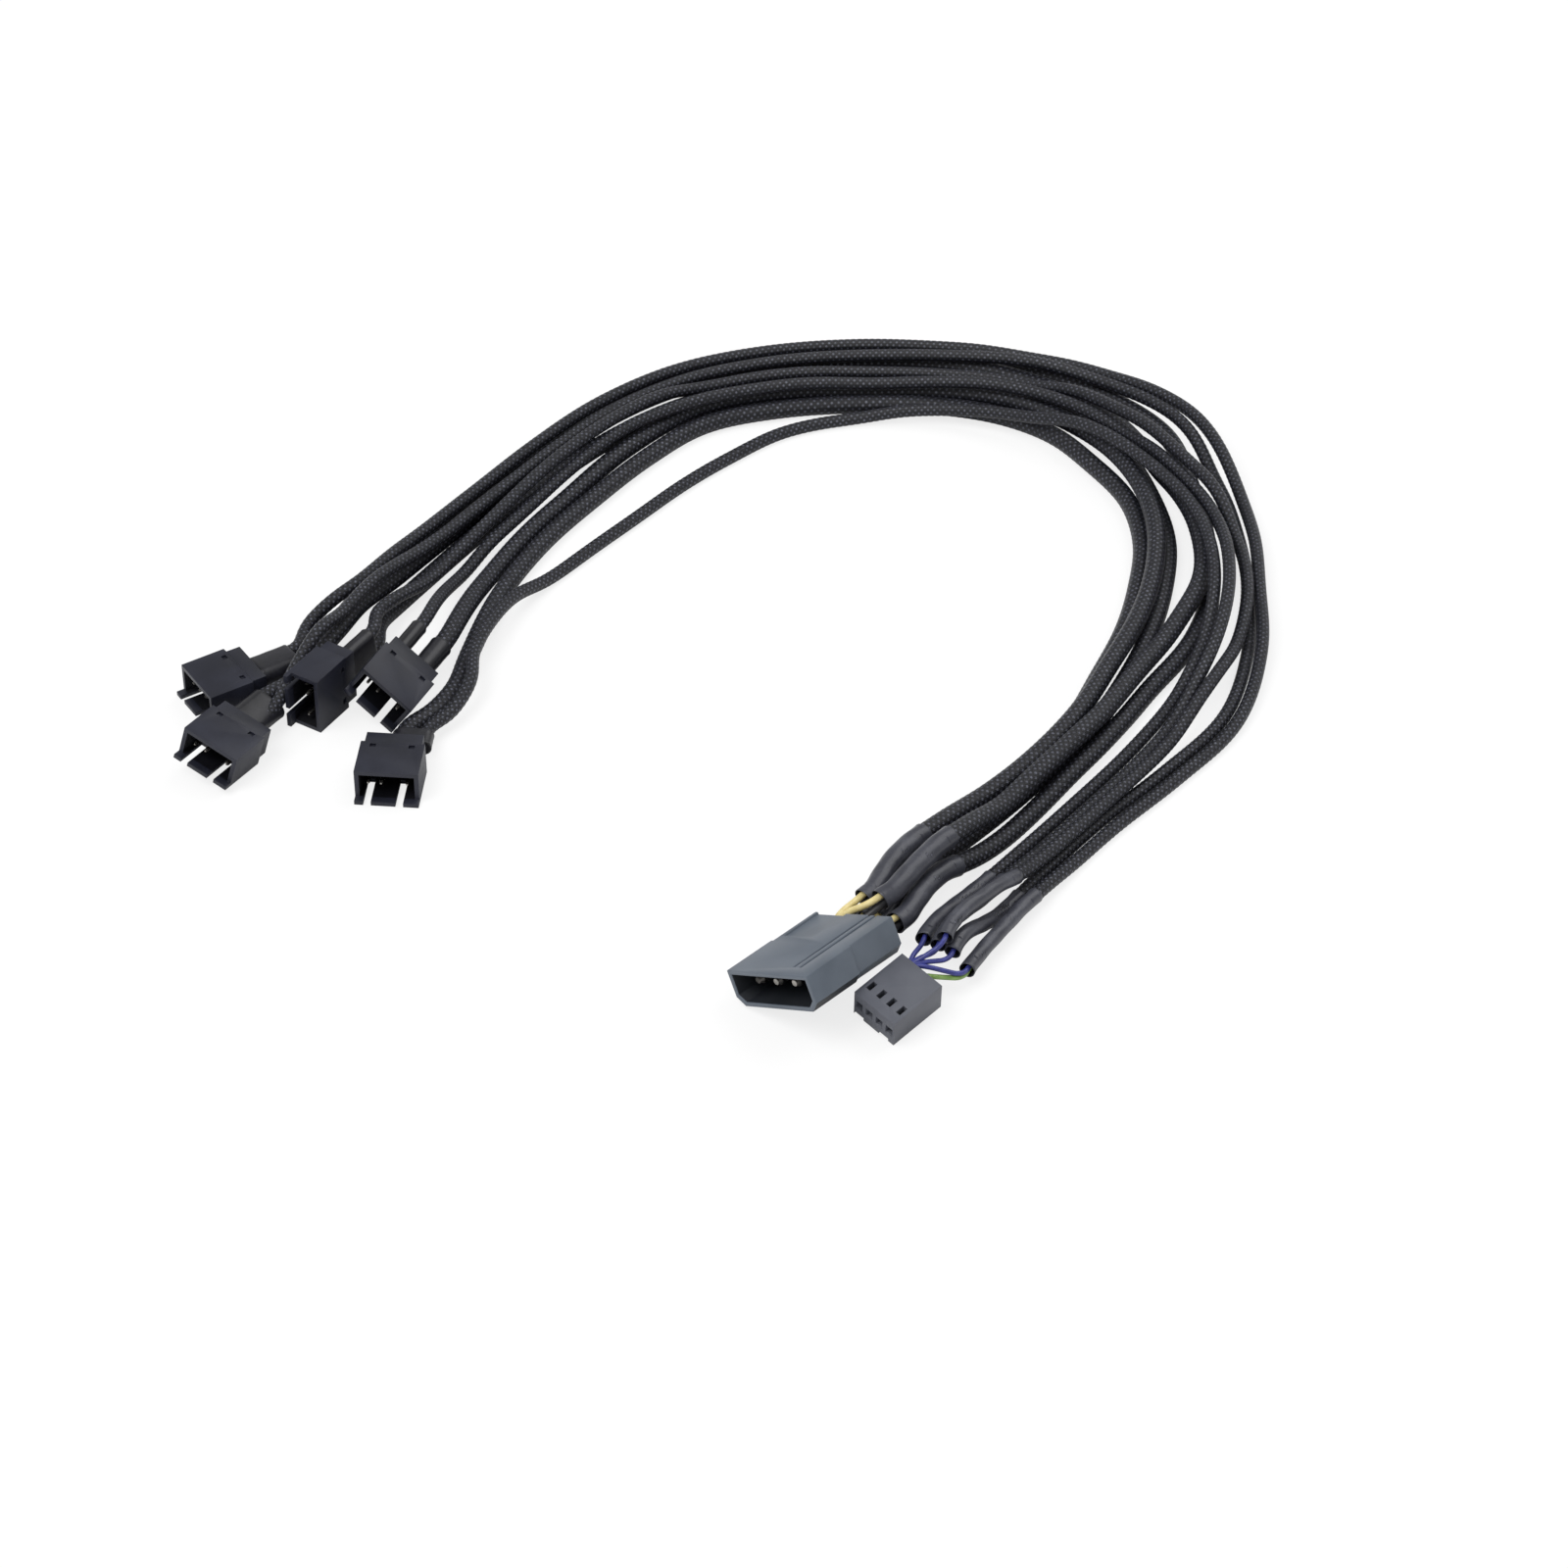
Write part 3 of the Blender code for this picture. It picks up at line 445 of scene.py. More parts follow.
class Finish:
    """Short way to write a material. Apart from add, each call that makes a node returns its output."""

    def __init__(self, name, colour, roughness, specular=0.5):
        self.material = bpy.data.materials.new(name)
        self.material.use_nodes = True
        self.tree = self.material.node_tree
        self.shader = self.tree.nodes["Principled BSDF"]
        self.give("Base Color", (*colour, 1))
        self.give("Roughness", roughness)
        self.give("Specular IOR Level", specular)

    def add(self, kind, **settings):
        node = self.tree.nodes.new(kind)
        for key, value in settings.items():
            setattr(node, key, value)
        return node

    def wire(self, value, socket):
        if hasattr(value, "is_output"):
            self.tree.links.new(value, socket)
        else:
            socket.default_value = value

    def give(self, socket, value):
        self.wire(value, self.shader.inputs[socket])

    def math(self, operation, first, second=0.0):
        node = self.add("ShaderNodeMath", operation=operation)
        self.wire(first, node.inputs[0])
        self.wire(second, node.inputs[1])
        return node.outputs[0]

    def noise(self, scale, detail=2.0, axes=(1, 1, 1)):
        place = self.add("ShaderNodeTexCoord").outputs["Object"]
        mapping = self.add("ShaderNodeMapping")
        self.wire(axes, mapping.inputs["Scale"])
        self.wire(place, mapping.inputs["Vector"])
        node = self.add("ShaderNodeTexNoise")
        self.wire(mapping.outputs[0], node.inputs["Vector"])
        self.wire(scale, node.inputs["Scale"])
        self.wire(detail, node.inputs["Detail"])
        return node.outputs["Fac"]

    def ramp(self, value, stops):
        node = self.add("ShaderNodeValToRGB")
        self.wire(value, node.inputs["Fac"])
        ramp = node.color_ramp
        for element, (place, colour) in zip((ramp.elements[0], ramp.elements[1]), (stops[0], stops[-1])):
            element.position = place
            element.color = (*colour, 1)
        for place, colour in stops[1:-1]:
            ramp.elements.new(place).color = (*colour, 1)
        return node.outputs["Color"]

    def bump(self, height, strength, distance):
        node = self.add("ShaderNodeBump")
        self.wire(height, node.inputs["Height"])
        self.wire(strength, node.inputs["Strength"])
        self.wire(distance, node.inputs["Distance"])
        self.give("Normal", node.outputs[0])


def braid_material():
    """Black monofilament: filament lines run along whichever ribbon is on top; painted grey highlights where
    ribbons crown.
    """
    n = Finish("braided_monofilament", (0.02, 0.02, 0.026), 0.42, specular=0.35)
    split = n.add("ShaderNodeSeparateXYZ")
    n.wire(n.add("ShaderNodeUVMap", uv_map="weave").outputs[0], split.inputs[0])
    a, b = split.outputs[0], split.outputs[1]
    share_a = n.math("FRACT", a)
    share_b = n.math("FRACT", b)
    whole = n.math("ADD", n.math("FLOOR", a), n.math("FLOOR", b))
    over = n.math("FLOORED_MODULO", whole, 2.0)
    crown_a = n.math("SINE", n.math("MULTIPLY", share_a, math.pi))
    crown_b = n.math("SINE", n.math("MULTIPLY", share_b, math.pi))
    both = n.math("MULTIPLY", crown_a, crown_b)
    line_a = n.math("SINE", n.math("MULTIPLY", share_a, 3 * math.tau))
    line_b = n.math("SINE", n.math("MULTIPLY", share_b, 3 * math.tau))
    top_a = n.math("MULTIPLY", line_a, over)
    top_b = n.math("MULTIPLY", line_b, n.math("SUBTRACT", 1.0, over))
    filaments = n.math("ADD", top_a, top_b)
    # The glint is a painted highlight: the base colour turns grey where both ribbons crown, where the real
    # braid catches the light.
    glint = n.math("MULTIPLY", n.math("POWER", both, 1.3), n.math("ADD", n.noise(900, 3), 0.15))
    tone = n.math("ADD", n.math("MULTIPLY", filaments, 0.06), glint)
    n.give("Base Color", n.ramp(tone, [(0.0, (0.004, 0.004, 0.006)), (0.35, (0.010, 0.011, 0.016)),
                                       (0.8, (0.12, 0.125, 0.16))]))
    n.bump(n.math("ADD", filaments, both), 0.5, 0.00006)
    return n.material


braid_finish = braid_material()
cables = {}
for name, line in lines.items():
    kind, number = kind_and_number(name)
    visible = stretch(line, WIRES_SHOW[kind] + BRAID_STARTS_INSIDE, distances(line)[-1] - BRAID_STOPS_SHORT)
    cable, path = braid(name + "_braid", visible, CABLE_R[kind], RIBBONS[kind])
    cable.data.materials.append(braid_finish)
    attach(cable, "root")
    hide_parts(name + "_cable")
    cables[name] = (cable, path)

# Heat-shrink sleeves at the host plugs
# A length of black polyolefin tube is shrunk over the end of each braid, where the wires come out. It is
# smooth and a little glossy, it follows what it holds, and its cut ends flare slightly.
SHRINK_RINGS = 44
SHRINK_SIDES = 28
SHRINK_LIP = 0.0001
SHRINK_LIP_RINGS = 6
SHRINK_FLARE = 0.00012
SHRINK_FLARE_FADES = 22
SHRINK_WAVE = 0.00006
SHRINK_FLAT = 0.05
SHRINK_GRIP = 0.00012
SHRINK_PROUD = 0.0001


def shrink_tube(name, points, inner, outer):
    """A tube with an open end, round lips and faint waves where it gripped the braid."""
    line = evenly(points, SHRINK_RINGS)
    tangent, side, up = frames_along(line)
    run = np.linspace(0, 1, len(line))[:, None]
    angle = np.arange(SHRINK_SIDES) * math.tau / SHRINK_SIDES
    wave = SHRINK_WAVE * np.sin(run * 19 + 2 * angle) * np.sin(run * 7 + angle)
    flare = SHRINK_FLARE * (np.exp(-run * SHRINK_FLARE_FADES) + np.exp(-(1 - run) * SHRINK_FLARE_FADES))
    flat = 1 - SHRINK_FLAT * np.sin(angle + 0.6) ** 2 * fade(run * 4)
    outside = (outer - SHRINK_LIP + flare) * flat + wave
    inside = np.full_like(outside, inner)
    edge = np.full((1, SHRINK_SIDES), 0.5 * (outer + inner))

    def rings(radius, at):
        return line[at][:, None, :] + radius[:, :, None] * outward(angle, side[at], up[at])

    every = np.arange(len(line))
    first, last = every[:SHRINK_LIP_RINGS], every[-SHRINK_LIP_RINGS:]
    loop = [rings(inside[first][::-1], first[::-1]),
            rings(edge, every[:1]) - SHRINK_LIP * tangent[0],
            rings(outside, every),
            rings(edge, every[-1:]) + SHRINK_LIP * tangent[-1],
            rings(inside[last][::-1], last[::-1])]
    return link(name, ring_mesh(name, np.concatenate(loop)))


def shrink_material(name, dark, middle, pale):
    """Semi-gloss black tube with a bluish cast, cloudy and finely pitted by the braid beneath."""
    n = Finish(name, middle, 0.34, specular=0.35)
    broad = n.noise(160, 3)
    fine = n.noise(1500, 4)
    tone = n.math("ADD", n.math("MULTIPLY", broad, 0.7), n.math("MULTIPLY", fine, 0.3))
    n.give("Base Color", n.ramp(tone, [(0.3, dark), (0.55, middle), (0.75, pale)]))
    n.give("Roughness", n.math("ADD", 0.24, n.math("MULTIPLY", broad, 0.22)))
    n.bump(n.math("ADD", fine, n.math("MULTIPLY", broad, 1.5)), 0.35, 0.00008)
    n.give("Coat Weight", 0.08)
    n.give("Coat Roughness", 0.25)
    return n.material


shrink_finish = shrink_material("heat_shrink_tube", (0.026, 0.027, 0.036), (0.046, 0.048, 0.061),
                                (0.076, 0.079, 0.097))
for name, line in lines.items():
    kind, number = kind_and_number(name)
    covered = stretch(line, WIRES_SHOW[kind], WIRES_SHOW[kind] + SLEEVE_LENGTH[kind])
    sleeve = shrink_tube(name + "_shrink", covered, CABLE_R[kind] + SHRINK_GRIP,
                         SLEEVE_R[kind] + SHRINK_PROUD)
    sleeve.data.materials.append(shrink_finish)
    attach(sleeve, "root")
    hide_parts(name + "_sleeve")

# Sleeves at the fan plugs
# One piece of the same tube holds a power cable and a signal cable together behind each plug. The plug
# that leans has a piece on each cable instead.
FAN_SLEEVE_WALL = 0.0004
FAN_SLEEVE_SIDES = 36
FAN_SLEEVE_SHORT = 0.0001
FACE_GAP = 0.00045

# Share of the sleeve's length and share of its radius, from lip to lip
FAN_SLEEVE_PROFILE = [(0.0, 0.80), (0.0, 0.95), (0.03, 1.02), (0.10, 1.0), (0.3, 0.985), (0.5, 1.0),
                      (0.7, 0.985), (0.9, 1.0), (0.97, 1.02), (1.0, 0.95), (1.0, 0.80)]


def hugging_tube(name, place, held, reach):
    """A tube shrunk round the cables it holds, each given as its place across, place up and radius."""
    rings = []
    for share, size in FAN_SLEEVE_PROFILE:
        y = reach[0] + share * (reach[1] - reach[0])
        ring = []
        for a in np.arange(FAN_SLEEVE_SIDES) * math.tau / FAN_SLEEVE_SIDES:
            x, z, half = max(held, key=lambda tube: tube[0] * math.cos(a) + tube[1] * math.sin(a) + tube[2])
            ring.append(place @ Vector((x + size * half * math.cos(a), y, z + size * half * math.sin(a))))
        rings.append(ring)
    return link(name, ring_mesh(name, np.array(rings)))


fan_shrink_finish = shrink_material("fan_end_shrink_tube", (0.005, 0.005, 0.007), (0.010, 0.010, 0.014),
                                    (0.022, 0.022, 0.030))
fan_sleeves = {}
for number, place in fan_seats.items():
    held = []
    for kind in ("power", "signal"):
        across, up = FAN_SEATS["%s_%d" % (kind, number)]
        held.append((across * MM, up * MM, CABLE_R[kind] + FAN_SLEEVE_WALL))
    groups = {"fan_sleeve_%d" % number: held}
    if number == LEANING_PLUG:
        groups = {"fan_sleeve_%d_power" % number: held[:1], "fan_sleeve_%d_signal" % number: held[1:]}
    reach = (FACE_GAP, FAN_SLEEVE[number] - FAN_SLEEVE_SHORT)
    fan_sleeves[number] = []
    for node, cables_held in groups.items():
        sleeve = hugging_tube(node + "_tube", place, cables_held, reach)
        sleeve.data.materials.append(fan_shrink_finish)
        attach(sleeve, "root")
        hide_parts(node)
        fan_sleeves[number].append(sleeve)

for name, (cable, path) in cables.items():
    kind, number = kind_and_number(name)

# Bare wires behind the host plugs
# Stranded copper wires in coloured plastic insulation leave the terminals and go into the braids: yellow
# and black from the power plug, blue and green from the PWM socket.
POWER_PITCH = 0.00508
FAN_PITCH = 0.00254
POWER_PIN_BACK = 0.0075
CONTACT_BACK = 0.0028
POWER_WIRE_R = 0.00068
SIGNAL_WIRE_R = 0.00048
WIRE_RINGS = 40
WIRE_SIDES = 14
WIRE_SOFTENING = 4
WIRE_STRAIGHT_SHARE = 0.35
WIRE_BEND_SHARE = 0.3
WIRE_LEAVES_AT = 0.0006
WIRE_LEVEL_AT = 0.0022
BEFORE_MOUTH = 0.0022
INSIDE_MOUTH = 0.003
POWER_PAIR_HALF = 0.00082
SIGNAL_PAIR_HALF = 0.00048

# Height of the wires just behind the plug, for the upper and the lower row of cables
YELLOW_LEVELS = (0.0024, -0.0006)
BLACK_LEVELS = (0.0008, -0.0024)
SIGNAL_LEVEL = 0.0008


def wire_path(place, terminal, back, level, before, end):
    """From a terminal inside the plug, up or down to the wire's level, then into its sleeve."""
    inverse = place.inverted()
    near = inverse @ Vector(before)
    points = [Vector((terminal, back, 0)),
              Vector((terminal, WIRE_STRAIGHT_SHARE * back, 0)),
              Vector((terminal, WIRE_LEAVES_AT, WIRE_BEND_SHARE * level)),
              Vector((terminal + WIRE_BEND_SHARE * (near.x - terminal), WIRE_LEVEL_AT, level)),
              near,
              inverse @ Vector(end)]
    return [place @ point for point in points]


def insulation_material(name, colour, pale):
    """Extruded plastic insulation: satin, with a faint streak along the wire and a little dust."""
    n = Finish(name, colour, 0.4)
    tone = n.noise(700, 3, (1, 1, 3))
    n.give("Base Color", n.ramp(tone, [(0.3, colour), (0.8, pale)]))
    n.give("Roughness", n.math("ADD", 0.32, n.math("MULTIPLY", tone, 0.2)))
    n.bump(n.noise(2600, 2), 0.2, 0.00003)
    return n.material


def wire_bundle(name, node, place, terminal, back, radius, ends, finish):
    """The wires of one colour, as one mesh of round tubes."""
    faces, points = [], []
    angle = np.arange(WIRE_SIDES) * math.tau / WIRE_SIDES
    for level, before, end in ends:
        path = np.array(wire_path(place, terminal, back, level, before, end))
        line = softened(evenly(path, WIRE_RINGS), WIRE_SOFTENING)
        side, up = frames_along(line)[1:]
        data = ring_mesh(name, line[:, None, :] + radius * outward(angle, side, up))
        first = len(points)
        points += [vertex.co[:] for vertex in data.vertices]
        faces += [tuple(first + v for v in face.vertices) for face in data.polygons]
        bpy.data.meshes.remove(data)
    data = bpy.data.meshes.new(name)
    data.from_pydata(points, [], faces)
    data.shade_smooth()
    data.materials.append(finish)
    obj = link(name, data)
    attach(obj, "root")
    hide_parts(node)


def entries(kind, place, lift):
    """Where each wire of a colour enters its sleeve: a point before its mouth and a point inside."""
    up = np.array(place.to_3x3() @ Vector((0, 0, 1))) * lift
    found = {}
    for number in FAN_PLUGS:
        line = lines["%s_%d" % (kind, number)]
        mouth = stretch(line, WIRES_SHOW[kind] - BEFORE_MOUTH, WIRES_SHOW[kind] + INSIDE_MOUTH)
        found[number] = (mouth[0] + up, mouth[-1] + up)
    return found


yellow_ends = entries("power", power_seat, POWER_PAIR_HALF)
black_ends = entries("power", power_seat, -POWER_PAIR_HALF)
yellow, black = [], []
for number in FAN_PLUGS:
    row = 0 if HOST_SEATS["power_%d" % number][1] > 0 else 1
    yellow.append((YELLOW_LEVELS[row], *yellow_ends[number]))
    black.append((BLACK_LEVELS[row], *black_ends[number]))
yellow_finish = insulation_material("yellow_insulation", (0.62, 0.50, 0.20), (0.80, 0.70, 0.36))
black_finish = insulation_material("black_insulation", (0.012, 0.012, 0.014), (0.03, 0.03, 0.034))
wire_bundle("yellow_leads", "yellow_wires", power_seat, -1.5 * POWER_PITCH, -POWER_PIN_BACK,
            POWER_WIRE_R, yellow, yellow_finish)
wire_bundle("black_leads", "black_wires", power_seat, -0.5 * POWER_PITCH, -POWER_PIN_BACK,
            POWER_WIRE_R, black, black_finish)

blue_ends = entries("signal", socket_seat, SIGNAL_PAIR_HALF)
green_ends = entries("signal", socket_seat, -SIGNAL_PAIR_HALF)
blue = [(SIGNAL_LEVEL, *blue_ends[number]) for number in FAN_PLUGS]
green = [(-SIGNAL_LEVEL, *green_ends[1])]
blue_finish = insulation_material("blue_insulation", (0.020, 0.024, 0.15), (0.05, 0.06, 0.28))
green_finish = insulation_material("green_insulation", (0.13, 0.24, 0.05), (0.28, 0.42, 0.13))
wire_bundle("blue_leads", "blue_wires", socket_seat, -1.5 * FAN_PITCH, -CONTACT_BACK,
            SIGNAL_WIRE_R, blue, blue_finish)
wire_bundle("green_lead", "green_wire", socket_seat, -0.5 * FAN_PITCH, -CONTACT_BACK,
            SIGNAL_WIRE_R, green, green_finish)

# Power plug
# A four-pin peripheral plug moulded in slate grey plastic, D-shaped so that it goes in one way only. Its
# rear half is slightly narrower, and two grooves and a shallow recess help the fingers.
POWER_WALL = 0.0009
POWER_MOUTH_DEPTH = 0.0112
POWER_MOUTH_CORNER = 0.4
POWER_STEP_IN = 0.0005
POWER_STEP_AT = 0.0118
POWER_STEP_RUN = 0.00015
POWER_CAVITY_R = 0.00215
POWER_CAVITY_DEPTH = 0.0104
POWER_PIN_HOLE_R = 0.00142
POWER_EDGE = 0.0002
POWER_SHADE_FROM = 0.0003
RIDGES = (0.0045, 0.0062)
RIDGE_WIDTH = 0.0006
RIDGE_REACH = 0.0205
RIDGE_DEPTH = 0.0004
RECESS = (-0.0098, -0.0020)
RECESS_REACH = 0.0095
RECESS_DEPTH = 0.0005
PAST = 0.001
ROD_SIDES = 28
SOFTENED_FROM = math.radians(50)
SHARP_FROM = math.radians(35)
SHADE_MARGIN = 0.00002
SHADE_PAST_FLOOR = 0.0001


def loft(rings):
    """A closed bmesh from rings of points."""
    bm = bmesh.new()
    rows = [[bm.verts.new(point) for point in ring] for ring in rings]
    for row, following in zip(rows, rows[1:]):
        for i in range(len(row)):
            j = (i + 1) % len(row)
            bm.faces.new((row[i], row[j], following[j], following[i]))
    bm.faces.new(rows[0][::-1])
    bm.faces.new(rows[-1])
    bmesh.ops.recalc_face_normals(bm, faces=bm.faces)
    return bm


def to_mesh(name, bm):
    """A mesh of the bmesh, which is freed."""
    data = bpy.data.meshes.new(name)
    bm.to_mesh(data)
    bm.free()
    return data


def box_rings(x, y, z):
    """A box between two places on each axis."""
    return [[(x[0], d, z[0]), (x[1], d, z[0]), (x[1], d, z[1]), (x[0], d, z[1])] for d in y]


def rod_rings(x, z, radius, y):
    """A round rod along the plug."""
    angles = [math.tau * (i + 0.5) / ROD_SIDES for i in range(ROD_SIDES)]
    return [[(x + radius * math.cos(a), d, z + radius * math.sin(a)) for a in angles] for d in y]


def either_side(x, width):
    """From half a width before a place to half a width after it."""
    return (x - width / 2, x + width / 2)


def settle_modifiers(obj):
    """Make what the modifiers show the object's own mesh."""
    bpy.context.view_layer.update()
    data = bpy.data.meshes.new_from_object(obj.evaluated_get(bpy.context.evaluated_depsgraph_get()))
    obj.modifiers.clear()
    obj.data = data


def carve(obj, cutters):
    """Cut each group of solids out of a housing and keep the result as its mesh."""
    for group in cutters:
        merged = bmesh.new()
        for rings in group:
            data = to_mesh("cutter", loft(rings))
            merged.from_mesh(data)
            bpy.data.meshes.remove(data)
        cutter = link("cutter", to_mesh("cutter", merged))
        difference = obj.modifiers.new("cut", "BOOLEAN")
        difference.operation = "DIFFERENCE"
        difference.solver = "EXACT"
        difference.object = cutter
        settle_modifiers(obj)
        bpy.data.objects.remove(cutter)


def housing(name, node, place, bm, cutters, finish, soft_edge, mouth=None, painted_shade_finish=None):
    """A moulded housing in its place: outer shape, then its mouth and holes, then softened edges.

    The faces inside the mouth get painted shade: a darker copy of the finish, for the little light that
    reaches in. The mouth is given as its half width, front, floor and half height.
    """
    obj = link(name, to_mesh(name, bm))
    carve(obj, cutters)
    edge = obj.modifiers.new("soft_edge", "BEVEL")
    edge.width = soft_edge
    edge.segments = 2
    edge.limit_method = "ANGLE"
    edge.angle_limit = SOFTENED_FROM
    edge.use_clamp_overlap = True
    settle_modifiers(obj)
    data = obj.data
    data.materials.clear()
    data.materials.append(finish)
    # Painted shade: faces inside the mouth get the darker copy of the finish.
    if mouth:
        data.materials.append(painted_shade_finish)
        half_width, front, floor, half_height = mouth
        for face in data.polygons:
            x, y, z = face.center
            within = abs(x) < half_width + SHADE_MARGIN and abs(z) < half_height + SHADE_MARGIN
            if within and front < y < floor + SHADE_PAST_FLOOR:
                face.material_index = 1
    data.transform(place)
    data.shade_smooth()
    data.set_sharp_from_angle(angle=SHARP_FROM)
    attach(obj, "root")
    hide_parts(node)


def moulded_material(name, low, mid, high, roughness=0.42):
    """Injection-moulded plastic: fine grain from the mould and faint cloudiness in tone and roughness."""
    n = Finish(name, mid, roughness, specular=0.35)
    cloud = n.noise(110, 3)
    grain = n.noise(4200, 2)
    n.give("Base Color", n.ramp(cloud, [(0.25, low), (0.5, mid), (0.75, high)]))
    n.give("Roughness", n.math("ADD", roughness - 0.1, n.math("MULTIPLY", cloud, 0.22)))
    n.bump(n.math("ADD", grain, n.math("MULTIPLY", cloud, 0.5)), 0.25, 0.00003)
    return n.material


rear = POWER_WIDTH - 2 * POWER_STEP_IN
shell = loft([d_shape(POWER_WIDTH, POWER_HEIGHT, POWER_CHAMFER, -POWER_LENGTH),
              d_shape(POWER_WIDTH, POWER_HEIGHT, POWER_CHAMFER, -POWER_STEP_AT),
              d_shape(rear, POWER_HEIGHT, POWER_CHAMFER, -POWER_STEP_AT + POWER_STEP_RUN),
              d_shape(rear, POWER_HEIGHT, POWER_CHAMFER, 0.0)])
mouth_width = POWER_WIDTH - 2 * POWER_WALL
mouth_height = POWER_HEIGHT - 2 * POWER_WALL
mouth_chamfer = POWER_CHAMFER - POWER_MOUTH_CORNER * POWER_WALL
floor = -POWER_LENGTH + POWER_MOUTH_DEPTH
top = POWER_HEIGHT / 2
power_ways = [POWER_PITCH * (i - 1.5) for i in range(4)]
hollow_front = [d_shape(mouth_width, mouth_height, mouth_chamfer, y) for y in (-POWER_LENGTH - PAST, floor)]
cavities = [rod_rings(x, 0, POWER_CAVITY_R, (-POWER_CAVITY_DEPTH, PAST)) for x in power_ways]
pin_holes = [rod_rings(x, 0, POWER_PIN_HOLE_R, (floor - PAST, -POWER_CAVITY_DEPTH + PAST))
             for x in power_ways]
grooves = [box_rings(either_side(x, RIDGE_WIDTH), (-RIDGE_REACH, PAST), (top - RIDGE_DEPTH, top + PAST))
           for x in RIDGES]
recess = box_rings(RECESS, (-RECESS_REACH, PAST), (top - RECESS_DEPTH, top + PAST))
# Darker copy of the slate plastic: painted shade for the inside of the power plug's mouth.
painted_shade_slate = moulded_material("slate_plastic_painted_shade", (0.010, 0.012, 0.015), (0.014, 0.016, 0.020),
                                (0.020, 0.023, 0.028))
slate = moulded_material("slate_moulded_plastic", (0.074, 0.090, 0.112), (0.092, 0.110, 0.136),
                         (0.112, 0.132, 0.160))
housing("power_plug_shell", "power_plug_housing", power_seat, shell,
        [[hollow_front], cavities, pin_holes, [*grooves, recess]], slate, POWER_EDGE,
        (mouth_width / 2, -POWER_LENGTH + POWER_SHADE_FROM, floor, mouth_height / 2), painted_shade_slate)

# PWM socket
# The four-way fan header socket is moulded in dark grey plastic. Windows near its mouth show the contact
# lances, and two keyways underneath fit the header's tongue.
SOCKET_HOLE = (0.0017, 0.0021)
SOCKET_EDGE = 0.00016
WINDOW_WIDTH = 0.001
WINDOW_REACH = (0.0022, 0.0042)
WINDOW_OVERLAP = 0.0002
KEYWAYS = (-0.0038, 0.0025)
KEYWAY_HEIGHT = 0.0007
KEYWAY_WIDTH = 0.0024
KEYWAY_LENGTH = 0.0085

half_height = SOCKET_HEIGHT / 2
fan_ways = [FAN_PITCH * (i - 1.5) for i in range(4)]
holes = [box_rings(either_side(x, SOCKET_HOLE[0]), (-SOCKET_LENGTH - PAST, PAST),
                   either_side(0, SOCKET_HOLE[1])) for x in fan_ways]
windows = [box_rings(either_side(x, WINDOW_WIDTH), [reach - SOCKET_LENGTH for reach in WINDOW_REACH],
                     (SOCKET_HOLE[1] / 2 - WINDOW_OVERLAP, half_height + PAST)) for x in fan_ways]
keyways = [box_rings(either_side(x, KEYWAY_WIDTH), (-SOCKET_LENGTH - PAST, -SOCKET_LENGTH + KEYWAY_LENGTH),
                     (-half_height - PAST, -half_height + KEYWAY_HEIGHT)) for x in KEYWAYS]
block = loft(box_rings(either_side(0, SOCKET_WIDTH), (-SOCKET_LENGTH, 0), either_side(0, SOCKET_HEIGHT)))
graphite = moulded_material("graphite_moulded_plastic", (0.066, 0.070, 0.086), (0.082, 0.087, 0.106),
                            (0.100, 0.106, 0.126))
housing("pwm_socket_shell", "pwm_socket_housing", socket_seat, block,
        [holes, [*windows, *keyways]], graphite, SOCKET_EDGE)

# Fan plugs
# Each is a black moulded shroud with a tongue below its mouth, cut into three fingers by two slots, and a
# narrower neck behind, where the terminals go in. Four pins, or three where the fan sends no speed.
FAN_TOP_LENGTH = 0.0126
FAN_WALL = 0.0009
FAN_MOUTH_DEPTH = 0.0078
FAN_NECK_LENGTH = 0.0032
FAN_NECK_IN = 0.0007
FAN_NECK_RUN = 0.0003
FAN_SLOTS = (-0.0038, 0.0025)
FAN_SLOT_WIDTH = 0.0015
FAN_SLOT_DEPTH = 0.007
FAN_SLOT_WALLS = 1.5
FAN_LATCHES = (-0.0038, 0.0038)
FAN_LATCH_WIDTH = 0.0012
FAN_LATCH_REACH = (0.0078, 0.0088)
FAN_LATCH_DEPTH = 0.0005
FAN_PIN_HOLE = 0.00132
FAN_CAVITY = (0.002, 0.0026)
FAN_EDGE = 0.00015
FAN_SHADE_FROM = 0.0002

w, h = FAN_WIDTH / 2, FAN_HEIGHT / 2
neck_w, neck_h = w - FAN_NECK_IN, h - 0.5 * FAN_NECK_IN
outline = [(-FAN_TONGUE_LENGTH, w, h), (-FAN_NECK_LENGTH, w, h),
           (-FAN_NECK_LENGTH + FAN_NECK_RUN, neck_w, neck_h), (0, neck_w, neck_h)]
rings = [[(-x, y, -z), (x, y, -z), (x, y, z), (-x, y, z)] for y, x, z in outline]
front = -FAN_TONGUE_LENGTH - PAST
floor = -FAN_TOP_LENGTH + FAN_MOUTH_DEPTH
open_top = box_rings((-w - PAST, w + PAST), (front, -FAN_TOP_LENGTH), (-h + FAN_WALL, h + PAST))
mouth = box_rings((-w + FAN_WALL, w - FAN_WALL), (front, floor), (-h + FAN_WALL, h - FAN_WALL))
slots = [box_rings(either_side(x, FAN_SLOT_WIDTH), (front, -FAN_TONGUE_LENGTH + FAN_SLOT_DEPTH),
                   (-h - PAST, -h + FAN_SLOT_WALLS * FAN_WALL)) for x in FAN_SLOTS]
latches = [box_rings(either_side(x, FAN_LATCH_WIDTH), [reach - FAN_TOP_LENGTH for reach in FAN_LATCH_REACH],
                     (h - FAN_LATCH_DEPTH, h + PAST)) for x in FAN_LATCHES]
pin_holes = [box_rings(either_side(x, FAN_PIN_HOLE), (floor - PAST, PAST), either_side(0, FAN_PIN_HOLE))
             for x in fan_ways]
